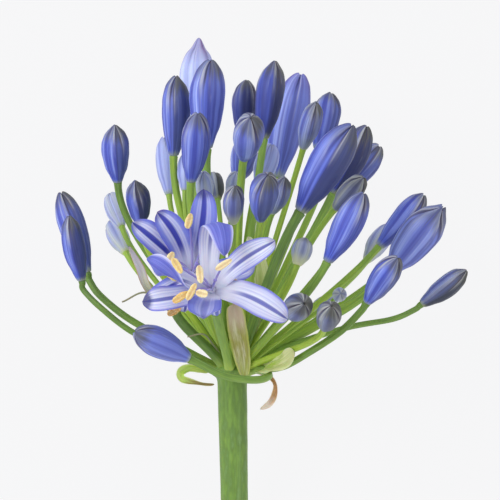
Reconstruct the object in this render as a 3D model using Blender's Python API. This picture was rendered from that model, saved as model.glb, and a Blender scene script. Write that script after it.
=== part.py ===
# A cut agapanthus head that lies on its back: the main stalk with all the flower stalks that
# grow from it, fifty closed buds, two open flowers and the dry sheath pieces at their base.
# Sizes are in metres. A spot on the plant is written in millimetres as (right, up, near):
# right and up as a viewer before the head measures them on the plane through the main stalk,
# and near towards that viewer. The head is modelled so, and an empty lays it on the surface.

from math import cos, pi, radians, sin

import bmesh
import bpy
from mathutils import Matrix, Quaternion, Vector

MM = 0.001
GAP = 0.3 * MM

# The main stalk, and the dome on it that the flower stalks grow from
STALK_LENGTH = 70 * MM
STALK_RADIUS_TOP = 5.1 * MM
STALK_RADIUS_CUT = 4.6 * MM
STALK_RADIUS_HALFWAY = 4.85 * MM
STALK_DRIFT = 1.3 * MM  # how far to the right it has strayed at the cut end
STALK_SIDES = 20
DOME_RADIUS = 8 * MM
DOME_HEIGHT = 5 * MM
ROOT_DEPTH = 0.75  # how far out in the dome a flower stalk begins, as a share of its radius

# How the head lies: it leans back on three buds and on the cut end of the stalk
LEAN = radians(22)
REST_SINK = 0.35 * MM  # what is pressed flat where a piece rests
HEAD_AT = Vector(
    (-9.8 * MM, -29.1 * MM, STALK_LENGTH * sin(LEAN) + STALK_RADIUS_CUT * cos(LEAN) - REST_SINK)
)

# The viewer that right and up are measured by: how far away, and what lies straight ahead
VIEW_DISTANCE = 1200 * MM
VIEW_RIGHT = 6.3 * MM
VIEW_UP = 42.7 * MM

# Flower stalks: their radius follows the bud that they carry
TWIG_RADIUS = 0.15 * MM
TWIG_RADIUS_PER_WIDTH = 0.115
TWIG_SIDES = 5
TWIG_STEPS = 5
STEPS_PER_DETOUR = 2
TWIG_START = 0.4  # where the first handle of its curve is, as a share of the straight way
TWIG_END = 0.25

# A bud's half width along its length, as (share of the length, share of the half width)
BUD_PROFILE = ((0, 0.3), (0.14, 0.52), (0.38, 0.88), (0.64, 1), (0.83, 0.83), (0.95, 0.45))
SMALL_BUD_PROFILE = ((0, 0.32), (0.2, 0.66), (0.5, 0.98), (0.78, 0.88), (0.94, 0.46))
SMALL_BUD = 8.5  # millimetres across
BUD_FURROW = 0.92  # radius in a furrow, as a share of the radius on a rib
BUD_RIBS = 6
GOLDEN_ANGLE = pi * (3 - 5**0.5)

# Buds: (foot, tip, greatest width, colour)
BUDS = {
    "bud_01": ((-13.5, 83.5, -34), (-11.5, 117, -38), 12.2, "pale"),
    "bud_02": ((-20.5, 75, 0), (-19.5, 103.5, 4), 10.1, "blue"),
    "bud_03": ((-9, 77.5, 10), (-7.5, 109, 12), 12.4, "blue"),
    "bud_04": ((-14.5, 66, 26), (-12, 90.5, 34), 10.1, "blue"),
    "bud_05": ((-22, 61.5, -24), (-24, 82, -34), 7, "pale"),
    "bud_06": ((-40, 66, 6), (-41, 86.5, 14), 9.8, "blue"),
    "bud_07": ((-32, 51, 20), (-34, 67, 32), 8.6, "slate"),
    "bud_08": ((-38.5, 50.5, -24), (-42.5, 62.5, -34), 7, "pale"),
    "bud_09": ((-37, 42, -38), (-42.5, 53, -51), 7.7, "young"),
    "bud_10": ((-50.5, 34, 2), (-59.8, 62.5, -2), 9.6, "blue"),
    "bud_11": ((-52.5, 31.5, 14), (-57, 54.5, 20), 8, "blue"),
    "bud_12": ((-14.5, 4.5, 40), (-34, 14, 47), 10.5, "blue"),
    "bud_13": ((4, 81, -10), (5, 102, -12), 8.8, "slate"),
    "bud_14": ((11, 81, 2), (15, 109, 0), 10.1, "slate"),
    "bud_15": ((4, 74.5, 30), (6.5, 89, 52), 10.8, "blue"),
    "bud_16": ((15.5, 67, -40), (24, 104, -49), 13.3, "pale"),
    "bud_17": ((30, 77.5, -8), (34.5, 97.5, -14), 10.1, "blue"),
    "bud_18": ((24.8, 78, 4), (29.5, 94.3, 16), 7.6, "blue"),
    "bud_19": ((23.5, 55.5, 44), (42, 86, 48), 13.6, "blue"),
    "bud_20": ((35, 62, 8), (47, 86, 10), 10.5, "slate"),
    "bud_21": ((36.5, 61, -14), (51.5, 79, -22), 10.5, "blue"),
    "bud_22": ((36, 57, 20), (46, 68, 32), 8, "slate"),
    "bud_23": ((33, 38, 44), (46, 62.5, 48), 10.5, "blue"),
    "bud_24": ((47, 40, -36), (55.8, 52.3, -48), 7.7, "young"),
    "bud_25": ((51, 43.5, -4), (67, 62, -8), 9.1, "blue"),
    "bud_26": ((55, 35, 12), (73.5, 57.5, 18), 13.6, "blue"),
    "bud_27": ((47, 24, 38), (58, 40, 48), 9.4, "slate"),
    "bud_28": ((66, 23.5, 16), (82, 35.5, 20), 7.7, "slate"),
    "bud_29": ((20.6, 20.6, 37), (25.2, 24, 57), 9.6, "slate"),
    "bud_30": ((32.2, 15, 42), (34.8, 23.2, 58), 8.6, "slate"),
    "bud_31": ((37, 26.5, 22), (38, 27.5, 34), 5, "young"),
    "bud_32": ((10, 53, 42), (12.5, 69, 60), 10.1, "blue"),
    "bud_33": ((14, 55.5, 14), (18.5, 68, 24), 7, "young"),
    "bud_34": ((0.5, 52, 40), (1, 65, 52), 7.5, "young"),
    "bud_35": ((-5, 60, -14), (-6.5, 69.5, -26), 6.3, "young"),
    "bud_36": ((22.6, 37.1, 23), (25.7, 46.9, 21.5), 7.5, "young"),
    "bud_37": ((0, 60, 6), (1.5, 70, 16), 5.6, "young"),
    "bud_38": ((9, 65.5, -14), (14, 79.5, -22), 8.2, "pale"),
    "bud_39": ((-9, 58.5, 12), (-10, 70, 22), 6.3, "pale"),
    "bud_40": ((-16.5, 63, 2), (-15.5, 77, -2), 6.3, "pale"),
    "bud_41": ((2, 67, -48), (5, 81, -63), 9.5, "blue"),
    "bud_42": ((-17, 38, -30), (-21, 49, -46), 9, "blue"),
    "bud_43": ((-5, 40, -35), (-7, 51, -50.5), 9.5, "blue"),
    "bud_44": ((2, 29, -32), (3, 39, -46), 8.5, "pale"),
    "bud_45": ((36, 43, -30), (41, 53.5, -44), 8.6, "blue"),
    "bud_46": ((30, 62, -32), (35, 75, -47), 9.5, "blue"),
    "bud_47": ((58, 40, -16), (66, 50.5, -24), 8, "young"),
    "bud_48": ((12, 24, -24), (17, 31, -38), 8, "young"),
    "bud_49": ((-13, 22, -22), (-21, 29, -34), 8, "young"),
    "bud_50": ((28, 20, -14), (36, 25, -24), 7.5, "young"),
}
RESTING_BUDS = ("bud_09", "bud_24", "bud_41")

# Ways that flower stalks take other than a plain curve: spots that they pass, from the dome out
DETOURS = {
    "bud_10": ((-20, 9.5, 6), (-36, 18.5, 8), (-46, 26.5, 5)),
    "bud_11": ((-20, 7, 12), (-35, 14, 16), (-46, 22.5, 16)),
    "bud_12": (
        (9, 0.9, 4),
        (12.4, -0.2, 9),
        (12.6, -1.7, 17),
        (9, -2.7, 24),
        (2.5, -2.3, 30),
        (-4.5, -0.5, 35),
    ),
    "bud_27": ((9, 0.8, 9.5), (18, 2, 18), (27.5, 7.2, 26.5), (38, 14.2, 33.5)),
    "bud_28": ((20, 9, 6), (40, 15.5, 10), (56, 18.5, 14)),
}

# Open flowers: foot and throat of the tube, then for each petal its width, how deep its trough is
# as a share of the width, what its inner face looks at near the throat and at its end, and the
# three spots that its middle line bends by outside the tube, and for each stamen where its
# anther is
TO_VIEWER = (0, 0.25, 1)
FLOWERS = {
    "flower_front": {
        "foot": (-5.6, 21, 43),
        "throat": (-7.3, 29.8, 58),
        "petals": {
            "left": (
                10.4,
                0.15,
                (TO_VIEWER, (0.25, 0.5, -0.83)),
                ((-16.5, 32.4, 66), (-23.5, 34.6, 73), (-29.6, 40, 67)),
            ),
            "lower_left": (
                9,
                0.12,
                (TO_VIEWER, TO_VIEWER),
                ((-18, 26.8, 66), (-26, 24.8, 71), (-31.5, 24.8, 66)),
            ),
            "lower": (
                11.6,
                0.12,
                (TO_VIEWER, (0, 0.6, 0.8)),
                ((-9.4, 25.2, 70), (-10, 22.4, 77), (-10, 18.8, 80)),
            ),
            "lower_right": (
                10.2,
                0.12,
                (TO_VIEWER, TO_VIEWER),
                ((3, 29.6, 68), (11.5, 24, 72), (19.6, 18.4, 66)),
            ),
            "upper_right": (
                9,
                0.12,
                (TO_VIEWER, TO_VIEWER),
                ((0, 38.4, 67), (7.6, 41.8, 72), (15.2, 46, 66)),
            ),
            "upper": (
                9.6,
                0.12,
                (TO_VIEWER, (0, -0.75, -0.66)),
                ((-10, 52, 62), (-3.5, 60, 72), (-2.6, 40.5, 77)),
            ),
        },
        "anthers": (
            (-18.9, 37.5, 75),
            (-11.2, 33.3, 78),
            (-16.1, 27.3, 76),
            (-9.8, 27, 81),
            (-3.2, 37.8, 76),
            (1, 31.2, 76),
        ),
    },
    "flower_back": {
        "foot": (-19.5, 24, 27),
        "throat": (-13.5, 35.5, 41),
        "petals": {
            "top": (
                9.6,
                0.12,
                ((0, -0.2, 1), (0, -0.2, 1)),
                ((-11, 46, 48), (-9.2, 55, 51), (-9.8, 64, 47)),
            ),
            "upper_left": (
                9.8,
                0.12,
                ((0.1, -0.1, 1), (0.1, -0.1, 1)),
                ((-17, 45, 50), (-21, 51.5, 55), (-26.2, 55.8, 52)),
            ),
            "left": (
                10,
                0.12,
                ((0.15, 0.3, 0.95), (0.15, 0.3, 0.95)),
                ((-21.5, 42, 50), (-28.5, 48, 54), (-35, 52.5, 52)),
            ),
            "right": (
                8.8,
                0.1,
                ((0, 0.1, 1), (0, 0.1, 1)),
                ((-4, 35.6, 49), (2, 35.6, 53), (8.2, 37.2, 53)),
            ),
            "lower_left": (
                7,
                0.1,
                ((0.3, 0.6, 0.75), (0.3, 0.6, 0.75)),
                ((-20, 31, 48), (-25, 27.6, 51), (-29, 26, 48)),
            ),
            "lower": (
                7,
                0.1,
                ((0.3, 0.6, 0.75), (0.3, 0.6, 0.75)),
                ((-15.2, 29, 47), (-15.8, 24, 49), (-16.6, 21, 46)),
            ),
        },
        "anthers": (
            (-15.4, 53, 60),
            (-20, 21.5, 57),
            (-21.5, 40, 58),
            (-9.5, 46.5, 58),
            (-4, 40, 55),
            (-21, 33.5, 58),
        ),
    },
}
PETAL_THICKNESS = 0.75 * MM
PETAL_STEPS = 6
PETAL_START = (-2.5, 2.2)  # millimetres along the tube's axis from the throat, and out from it
# A petal's width along its length, as (share of the length, share of the width)
PETAL_PROFILE = ((0, 0.5), (0.2, 0.74), (0.42, 0.93), (0.62, 1), (0.8, 0.86), (0.93, 0.58), (1, 0.27))
TUBE_PROFILE = ((0, 1.75), (0.35, 2.3), (0.75, 3.5), (1, 4.3))  # share of length, radius in mm
TUBE_SIDES = 12
FILAMENT_RADIUS = 0.42 * MM
FILAMENT_BOW = 1.6  # millimetres that a filament bows away from its straight way
ANTHER_LENGTH = 4.4 * MM
ANTHER_RADIUS = 0.85 * MM
STYLE_TIP = (1.5, 2.5, 13)  # from the throat, in millimetres

# Sheath pieces: the spots that the middle line passes, widths there, colour, and what they face
BRACTS = {
    "bract_strap": (
        ((4.4, -1.5, 9.4), (3.8, 4, 12.5), (2.6, 11, 20), (1.5, 18, 27), (0.6, 24, 31)),
        (3.4, 5.6, 6.8, 6.8, 5.2),
        "straw",
        (0, -0.5, 1),
    ),
    "bract_left": (
        (
            (-8.1, 0.2, 3),
            (-11.5, 1, 4),
            (-15, 1.4, 4.6),
            (-17.8, 0.2, 5),
            (-17.6, -2, 5.2),
            (-15, -3.2, 5.5),
            (-11, -4, 6),
            (-6.2, -4.4, 6.8),
        ),
        (2, 2.6, 3.1, 3.1, 2.8, 2.3, 1.5, 0.8),
        "leaf",
        (0, -0.3, 1),
    ),
    "bract_right": (
        ((8.2, 0, -2), (12.4, -1.2, -1.5), (15, -4.6, 0), (14.8, -8, 1), (12.8, -11.3, 2), (9.8, -13, 1)),
        (1.3, 1.5, 1.8, 2.2, 2.4, 1),
        "tan",
        (0.4, 0.3, 1),
    ),
}
BRACT_THICKNESS = 0.7 * MM
BRACT_STEPS = 3  # between two spots
BRACT_TROUGH = 0.12

# Sheath pieces that the flower stalks hold: a folded one, a papery one inside the head and a
# papery one at its left: spots, widths and what they face
HELD_BRACTS = {
    "fold": (
        ((7.5, 0.6, 5), (12.5, 1.8, 16), (17.5, 3.6, 24), (22, 7.2, 28)),
        (3, 5.5, 7, 4.5),
        (-0.1, 0.5, 1),
    ),
    "inner": (
        ((4, 4, 4), (7, 14, 10), (9.6, 24, 15), (10.6, 32, 18), (9, 40, 19), (5.5, 47.5, 19)),
        (2, 3.4, 5, 5.6, 5, 2.4),
        (0, -0.3, 1),
    ),
    "outer": (
        ((-4, 4, 1), (-17, 17.5, 9), (-28.7, 28.4, 16), (-32.2, 36.4, 18), (-36.2, 44.3, 17)),
        (1.2, 1.6, 2.8, 3.2, 1),
        (0, 0, 1),
    ),
}

# Dry threads among the flower stalks, grown from the dome: the spots passed, and their radius
THREADS = (
    (((-5, 3, 3), (-17, 16, 12), (-29, 27.5, 17), (-38.5, 24.5, 19)), 0.5 * MM),
    (((-2.5, 3.5, 4), (-6.5, 9.5, 11), (-10, 13.2, 18), (-15.6, 12.3, 21)), 0.45 * MM),
)

COLOURS = {  # colour, roughness
    "green": ((0.17, 0.33, 0.05), 0.5),
    "blue": ((0.1, 0.11, 0.55), 0.45),
    "slate": ((0.07, 0.08, 0.22), 0.45),
    "pale": ((0.36, 0.36, 0.78), 0.5),
    "young": ((0.42, 0.45, 0.42), 0.5),
    "petal": ((0.45, 0.46, 0.86), 0.45),
    "straw": ((0.4, 0.36, 0.2), 0.8),
    "leaf": ((0.5, 0.58, 0.3), 0.6),
    "tan": ((0.5, 0.32, 0.16), 0.8),
}


def clear_scene():
    for thing in list(bpy.data.objects):
        bpy.data.objects.remove(thing, do_unlink=True)


def make_materials():
    made = {}
    for name, (colour, roughness) in COLOURS.items():
        material = bpy.data.materials.new(name)
        material.use_nodes = True
        shader = material.node_tree.nodes["Principled BSDF"]
        shader.inputs["Base Color"].default_value = (*colour, 1)
        shader.inputs["Roughness"].default_value = roughness
        shader.inputs["Metallic"].default_value = 0
        made[name] = material
    return made


def on_plant(spot):
    # What stands nearer looks larger to the viewer, so its true offset from straight ahead is less
    right, up, near = (value * MM for value in spot)
    shrink = 1 - near / VIEW_DISTANCE
    return Vector(
        (VIEW_RIGHT + (right - VIEW_RIGHT) * shrink, VIEW_UP + (up - VIEW_UP) * shrink, near)
    )


def height(point):
    # Height over the surface of a point on the plant
    return HEAD_AT.z + point.y * sin(LEAN) + point.z * cos(LEAN)


def object_of(name, mesh, material):
    made = bpy.data.objects.new(name, mesh)
    mesh.materials.append(material)
    mesh.shade_smooth()
    mesh.set_sharp_from_angle(angle=radians(50))
    bpy.context.scene.collection.objects.link(made)
    return made


def ring_mesh(name, rings, tip=None):
    # A closed skin through rings of the same count, ending in a flat cap or in a tip
    shape = bmesh.new()
    rows = [[shape.verts.new(point) for point in ring] for ring in rings]
    count = len(rows[0])
    for row, following in zip(rows, rows[1:]):
        for i in range(count):
            j = (i + 1) % count
            shape.faces.new((row[i], row[j], following[j]))
            shape.faces.new((row[i], following[j], following[i]))
    shape.faces.new(reversed(rows[0]))
    if tip is None:
        shape.faces.new(rows[-1])
    else:
        end = shape.verts.new(tip)
        for i in range(count):
            shape.faces.new((rows[-1][i], rows[-1][(i + 1) % count], end))
    bmesh.ops.recalc_face_normals(shape, faces=shape.faces)
    mesh = bpy.data.meshes.new(name)
    shape.to_mesh(mesh)
    shape.free()
    return mesh


def circle(centre, side, other, radius, count):
    turns = (2 * pi * i / count for i in range(count))
    return [centre + (side * cos(turn) + other * sin(turn)) * radius for turn in turns]


def tube_mesh(name, points, radii, sides, end_axis=None):
    # A tube along points, whose rings turn as little as they can from one to the next. Its last
    # ring stands square to end_axis.
    ahead = [(b - a).normalized() for a, b in zip(points, points[1:])]
    tangents = [ahead[0]]
    tangents += [(a + b).normalized() for a, b in zip(ahead, ahead[1:])]
    tangents.append(end_axis or ahead[-1])
    side = tangents[0].orthogonal().normalized()
    rings = []
    for point, tangent, radius in zip(points, tangents, radii):
        side = (side - tangent * side.dot(tangent)).normalized()
        rings.append(circle(point, side, tangent.cross(side), radius, sides))
    return ring_mesh(name, rings)


def bezier(p0, p1, p2, p3, steps):
    made = []
    for i in range(steps + 1):
        t = i / steps
        s = 1 - t
        made.append(p0 * s**3 + p1 * 3 * s * s * t + p2 * 3 * s * t * t + p3 * t**3)
    return made


def smooth_line(points, steps):
    # One curve through all the points, with steps between each two
    ends = [points[0] * 2 - points[1], *points, points[-1] * 2 - points[-2]]
    made = [points[0]]
    for before, a, b, after in zip(ends, ends[1:], ends[2:], ends[3:]):
        made += bezier(a, a + (b - before) / 6, b - (after - a) / 6, b, steps)[1:]
    return made


def value_at(profile, share):
    for (x0, y0), (x1, y1) in zip(profile, profile[1:]):
        if share <= x1:
            return y0 + (y1 - y0) * (share - x0) / (x1 - x0)
    return profile[-1][1]


def spread(values, count):
    # The values that stand at even shares, read at count even shares
    profile = [(i / (len(values) - 1), value) for i, value in enumerate(values)]
    return [value_at(profile, i / (count - 1)) for i in range(count)]


def blade_mesh(name, points, widths, thickness, trough, facings):
    # A strip with a trough along its middle, whose inner face turns from one direction to the
    # other on the way. Both faces are split into triangles alike.
    ahead = [(b - a).normalized() for a, b in zip(points, points[1:])]
    tangents = [ahead[0]]
    tangents += [(a + b).normalized() for a, b in zip(ahead, ahead[1:])]
    tangents.append(ahead[-1])
    first, last = (Vector(facing).normalized() for facing in facings)
    shape = bmesh.new()
    rows = []
    for i, (point, tangent, width) in enumerate(zip(points, tangents, widths)):
        share = i / (len(points) - 1)
        facing = first.lerp(last, share * share * (3 - 2 * share))
        side = tangent.cross(facing).normalized()
        normal = side.cross(tangent)
        row = []
        for across in (-0.5, 0, 0.5):
            lift = trough * width * (4 * across * across - 0.5)
            middle = point + side * (width * across) + normal * lift
            row.append(
                [shape.verts.new(middle + normal * (thickness * half)) for half in (0.5, -0.5)]
            )
        rows.append(row)
    for row, following in zip(rows, rows[1:]):
        for i in (0, 1):
            a, b, c, d = row[i], row[i + 1], following[i + 1], following[i]
            for level in (0, 1):
                shape.faces.new((a[level], b[level], c[level]))
                shape.faces.new((a[level], c[level], d[level]))
        for i in (0, 2):
            a, b = row[i], following[i]
            shape.faces.new((a[0], a[1], b[1]))
            shape.faces.new((a[0], b[1], b[0]))
    for row in (rows[0], rows[-1]):
        for i in (0, 1):
            shape.faces.new((row[i][0], row[i + 1][0], row[i + 1][1], row[i][1]))
    bmesh.ops.recalc_face_normals(shape, faces=shape.faces)
    mesh = bpy.data.meshes.new(name)
    shape.to_mesh(mesh)
    shape.free()
    return mesh


def fused(name, meshes, material):
    # All the meshes as one solid
    first = object_of(name, meshes[0], material)
    group = bpy.data.collections.new(name + "_pieces")
    bpy.context.scene.collection.children.link(group)
    pieces = []
    for mesh in meshes[1:]:
        piece = bpy.data.objects.new(mesh.name, mesh)
        group.objects.link(piece)
        pieces.append(piece)
    join = first.modifiers.new("join", "BOOLEAN")
    join.operation = "UNION"
    join.operand_type = "COLLECTION"
    join.collection = group
    join.solver = "EXACT"
    seen = bpy.context.evaluated_depsgraph_get()
    mesh = bpy.data.meshes.new_from_object(first.evaluated_get(seen))
    first.modifiers.clear()
    first.data = mesh
    for piece in pieces:
        bpy.data.objects.remove(piece, do_unlink=True)
    bpy.data.collections.remove(group)
    mesh.materials.clear()
    mesh.materials.append(material)
    mesh.shade_smooth()
    mesh.set_sharp_from_angle(angle=radians(50))
    return first


def bud_mesh(name, length, width):
    # Along local +Z from its foot, with six ribs where the closed petals have their middles
    profile = SMALL_BUD_PROFILE if width < SMALL_BUD * MM else BUD_PROFILE
    rings = []
    for share, wide in profile:
        ring = []
        for i in range(2 * BUD_RIBS):
            turn = pi * i / BUD_RIBS
            radius = wide * width / 2 * (BUD_FURROW if i % 2 else 1)
            ring.append(Vector((cos(turn) * radius, sin(turn) * radius, share * length)))
        rings.append(ring)
    return ring_mesh(name, rings, tip=Vector((0, 0, length)))


def press_flat(piece):
    # Cuts off what would reach under the surface, and closes the cut with a flat facet
    place = piece.matrix_basis
    level = place @ Vector((0, 0, 0))
    lift = Vector((0, sin(LEAN), cos(LEAN)))
    on_surface = place.inverted() @ (level - lift * height(level))
    upward = place.to_3x3().inverted() @ lift
    shape = bmesh.new()
    shape.from_mesh(piece.data)
    cut = bmesh.ops.bisect_plane(
        shape,
        geom=shape.verts[:] + shape.edges[:] + shape.faces[:],
        plane_co=on_surface,
        plane_no=upward,
        clear_inner=True,
    )
    edges = [part for part in cut["geom_cut"] if isinstance(part, bmesh.types.BMEdge)]
    bmesh.ops.contextual_create(shape, geom=edges)
    bmesh.ops.recalc_face_normals(shape, faces=shape.faces)
    shape.to_mesh(piece.data)
    shape.free()


def make_bud(name, materials):
    foot, tip, width, colour = BUDS[name]
    foot = on_plant(foot)
    axis = on_plant(tip) - foot
    mesh = bud_mesh(name, axis.length, width * MM * (1 - foot.z / VIEW_DISTANCE))
    bud = object_of(name, mesh, materials[colour])
    turn = Quaternion((0, 0, 1), GOLDEN_ANGLE * list(BUDS).index(name))
    bud.rotation_mode = "QUATERNION"
    bud.rotation_quaternion = axis.to_track_quat("Z", "Y") @ turn
    bud.location = foot
    if name in RESTING_BUDS:
        turned = bud.rotation_quaternion.to_matrix()
        low = min(height(foot + turned @ vertex.co) for vertex in mesh.vertices)
        bud.location = foot - Vector((0, sin(LEAN), cos(LEAN))) * (low + REST_SINK)
    bud.matrix_basis = Matrix.LocRotScale(bud.location, bud.rotation_quaternion, None)
    if name in RESTING_BUDS:
        press_flat(bud)
    return bud


def root_towards(spot):
    # Where in the dome a stalk begins, on the side that it goes to
    out = spot.normalized()
    return Vector((out.x * DOME_RADIUS, out.y * DOME_HEIGHT, out.z * DOME_RADIUS)) * ROOT_DEPTH


def twig_mesh(name, foot, axis, radius, detour=()):
    # From the dome to just under a bud or a flower, where it comes in along that one's axis
    end = foot - axis * GAP
    passed = [on_plant(spot) for spot in detour]
    root = root_towards(passed[0] if passed else end)
    if passed:
        before_end = end - axis * (end - passed[-1]).length * TWIG_END
        points = smooth_line([root, *passed, before_end, end], STEPS_PER_DETOUR)
    else:
        way = end - root
        first = root + way * TWIG_START
        last = end - axis * way.length * TWIG_END
        points = bezier(root, first, last, end, TWIG_STEPS)
    return tube_mesh(name, points, [radius] * len(points), TWIG_SIDES, end_axis=axis)


def flower_axis(name):
    throat = on_plant(FLOWERS[name]["throat"])
    return (throat - on_plant(FLOWERS[name]["foot"])).normalized()


def sheath_mesh(name, spots, widths, facing):
    points = smooth_line([on_plant(spot) for spot in spots], BRACT_STEPS)
    wide = [width * MM for width in spread(widths, len(points))]
    return blade_mesh(name, points, wide, BRACT_THICKNESS, BRACT_TROUGH, (facing, facing))


def make_stalks(buds, materials):
    cut = Vector((STALK_DRIFT, -STALK_LENGTH, 0))
    right, near = Vector((1, 0, 0)), Vector((0, 0, 1))
    stalk = [
        circle(cut, right, near, STALK_RADIUS_CUT, STALK_SIDES),
        circle(cut / 2, right, near, STALK_RADIUS_HALFWAY, STALK_SIDES),
        circle(Vector((0, -2, 0)) * MM, right, near, STALK_RADIUS_TOP, STALK_SIDES),
        circle(Vector((0, -0.6, 0)) * MM, right, near, DOME_RADIUS * 0.9, STALK_SIDES),
    ]
    for share in (0.1, 0.45, 0.8):
        level = Vector((0, DOME_HEIGHT * share, 0))
        stalk.append(
            circle(level, right, near, DOME_RADIUS * (1 - share * share) ** 0.5, STALK_SIDES)
        )
    meshes = [ring_mesh("stalk", stalk, tip=Vector((0, DOME_HEIGHT, 0)))]
    for name, bud in buds.items():
        axis = bud.matrix_basis.to_3x3() @ Vector((0, 0, 1))
        radius = TWIG_RADIUS + TWIG_RADIUS_PER_WIDTH * BUDS[name][2] * MM
        detour = DETOURS.get(name, ())
        meshes.append(twig_mesh("to_" + name, bud.location.copy(), axis, radius, detour))
    for name, flower in FLOWERS.items():
        foot = on_plant(flower["foot"])
        radius = TUBE_PROFILE[0][1] * MM
        meshes.append(twig_mesh("to_" + name, foot, flower_axis(name), radius))
    for spots, radius in THREADS:
        points = smooth_line([on_plant(spot) for spot in spots], BRACT_STEPS)
        meshes.append(tube_mesh("thread", points, [radius] * len(points), 4))
    meshes += [sheath_mesh(name, *bract) for name, bract in HELD_BRACTS.items()]
    stalks = fused("stalks", meshes, materials["green"])
    press_flat(stalks)
    return stalks


def petal_mesh(name, petal, throat, axis):
    width, trough, facings, spots = petal
    spots = [on_plant(spot) for spot in spots]
    way = spots[0] - throat
    outward = (way - axis * way.dot(axis)).normalized()
    along, out = PETAL_START
    start = throat + (axis * along + outward * out) * MM
    points = bezier(start, *spots, PETAL_STEPS)
    widths = [
        value_at(PETAL_PROFILE, i / PETAL_STEPS) * width * MM for i in range(PETAL_STEPS + 1)
    ]
    return blade_mesh(name, points, widths, PETAL_THICKNESS, trough, facings)


def stamen_meshes(throat, axis, spot):
    anther = on_plant(spot)
    start = throat - axis * 2 * MM
    way = anther - start
    bow = (axis - way.normalized() * axis.dot(way.normalized())) * FILAMENT_BOW * MM
    points = bezier(start, start + way / 3 + bow, start + way * 2 / 3 + bow, anther, 4)
    filament = tube_mesh("filament", points, [FILAMENT_RADIUS] * len(points), 4)
    across = way.cross(axis).normalized()
    along = (way.normalized() + across).normalized()
    shares = ((-0.5, 0.5), (-0.25, 1), (0.25, 1), (0.5, 0.5))
    other = along.orthogonal().normalized()
    rings = [
        circle(
            anther + along * ANTHER_LENGTH * share, other, along.cross(other), ANTHER_RADIUS * wide, 5
        )
        for share, wide in shares
    ]
    return [filament, ring_mesh("anther", rings)]


def make_flower(name, materials):
    flower = FLOWERS[name]
    foot, throat = on_plant(flower["foot"]), on_plant(flower["throat"])
    axis = flower_axis(name)
    side = axis.orthogonal().normalized()
    other = axis.cross(side)
    tube = [
        circle(foot.lerp(throat, share), side, other, radius * MM, TUBE_SIDES)
        for share, radius in TUBE_PROFILE
    ]
    meshes = [ring_mesh("tube", tube)]
    for which, petal in flower["petals"].items():
        meshes.append(petal_mesh(which, petal, throat, axis))
    for spot in flower["anthers"]:
        meshes += stamen_meshes(throat, axis, spot)
    start = throat - axis * 2 * MM
    tip = throat + Vector(STYLE_TIP) * MM
    points = bezier(start, start.lerp(tip, 0.4), start.lerp(tip, 0.7), tip, 3)
    meshes.append(tube_mesh("style", points, [FILAMENT_RADIUS] * len(points), 4))
    return fused(name, meshes, materials["petal"])


def make_bract(name, materials):
    spots, widths, colour, facing = BRACTS[name]
    return object_of(name, sheath_mesh(name, spots, widths, facing), materials[colour])


def main():
    clear_scene()
    materials = make_materials()
    head = bpy.data.objects.new("head", None)
    bpy.context.scene.collection.objects.link(head)
    head.location = HEAD_AT
    head.rotation_euler = (LEAN, 0, 0)
    buds = {name: make_bud(name, materials) for name in BUDS}
    pieces = [*buds.values(), make_stalks(buds, materials)]
    pieces += [make_flower(name, materials) for name in FLOWERS]
    pieces += [make_bract(name, materials) for name in BRACTS]
    for piece in pieces:
        piece.parent = head


main()
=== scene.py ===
# Looks of a cut agapanthus head that lies on its back: fifty buds, two open flowers, the stalks
# that carry them and the dry sheath pieces at their base. A spot on the plant is written in
# millimetres as (right, up, near), as a viewer who stands before the head sees it. In a piece's
# dictionary, names with a capital are inputs of its node tree.
from math import cos, pi, radians, sin

import bpy
import numpy as np
from mathutils import Matrix, Vector


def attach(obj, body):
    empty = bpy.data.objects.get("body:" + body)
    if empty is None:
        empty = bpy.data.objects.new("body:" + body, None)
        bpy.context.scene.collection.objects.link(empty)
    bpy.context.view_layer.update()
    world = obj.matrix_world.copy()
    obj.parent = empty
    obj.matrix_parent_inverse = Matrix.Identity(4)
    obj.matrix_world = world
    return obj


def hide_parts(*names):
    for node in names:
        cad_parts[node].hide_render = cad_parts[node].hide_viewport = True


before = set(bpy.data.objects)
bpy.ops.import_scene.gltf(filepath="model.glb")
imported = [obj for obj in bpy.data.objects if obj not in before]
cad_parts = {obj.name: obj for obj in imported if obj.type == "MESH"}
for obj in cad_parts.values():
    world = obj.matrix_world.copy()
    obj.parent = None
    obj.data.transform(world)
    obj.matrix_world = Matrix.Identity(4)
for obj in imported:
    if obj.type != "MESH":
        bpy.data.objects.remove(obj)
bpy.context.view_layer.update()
print("frame loaded:", len(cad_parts), "nodes")

mm = 0.001
fullTurn = 2 * pi

# How the head lies, and the viewer that right, up and near are measured by
head = {
    "lean": 22,  # degrees between the main stalk and the surface
    "right": -9.8,
    "forward": -29.1,
    "endRadius": 4.6,  # from the stalk's axis down to the edge that it lies on
    "restSink": 0.35,  # what is pressed flat where a piece rests
}
viewer = {"distance": 1200, "right": 6.3, "up": 42.7, "photoWidth": 175}

mainStalk = {
    "length": 70,
    # height over the flower stalks' base, radius
    "outline": (
        (-70, 4.62), (-52, 4.7), (-35, 4.85), (-14, 5.1), (-5, 5.15), (-2.2, 5.5), (-0.8, 6.9),
        (0.4, 7.85), (1.4, 7.7), (2.6, 6.7), (3.7, 5), (4.5, 3), (4.9, 1.2),
    ),
    "drift": 1.3,  # how far to the right it has strayed at the cut end
    "step": 1.0,
    "domeFrom": -4,
    "domeStep": 0.25,
    "domeTop": 4.9,
    "domeRadius": 8,
    "domeHeight": 5,
    "rootDepth": 0.75,  # how far out in the dome a flower stalk begins
    "tone": 0.88,
    "Sides": 96,
    "Ribs": 13.0,
    "Rib Depth": 0.004,
    "Wobble": 0.05,
    "Seed": 8.0,
}

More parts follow.
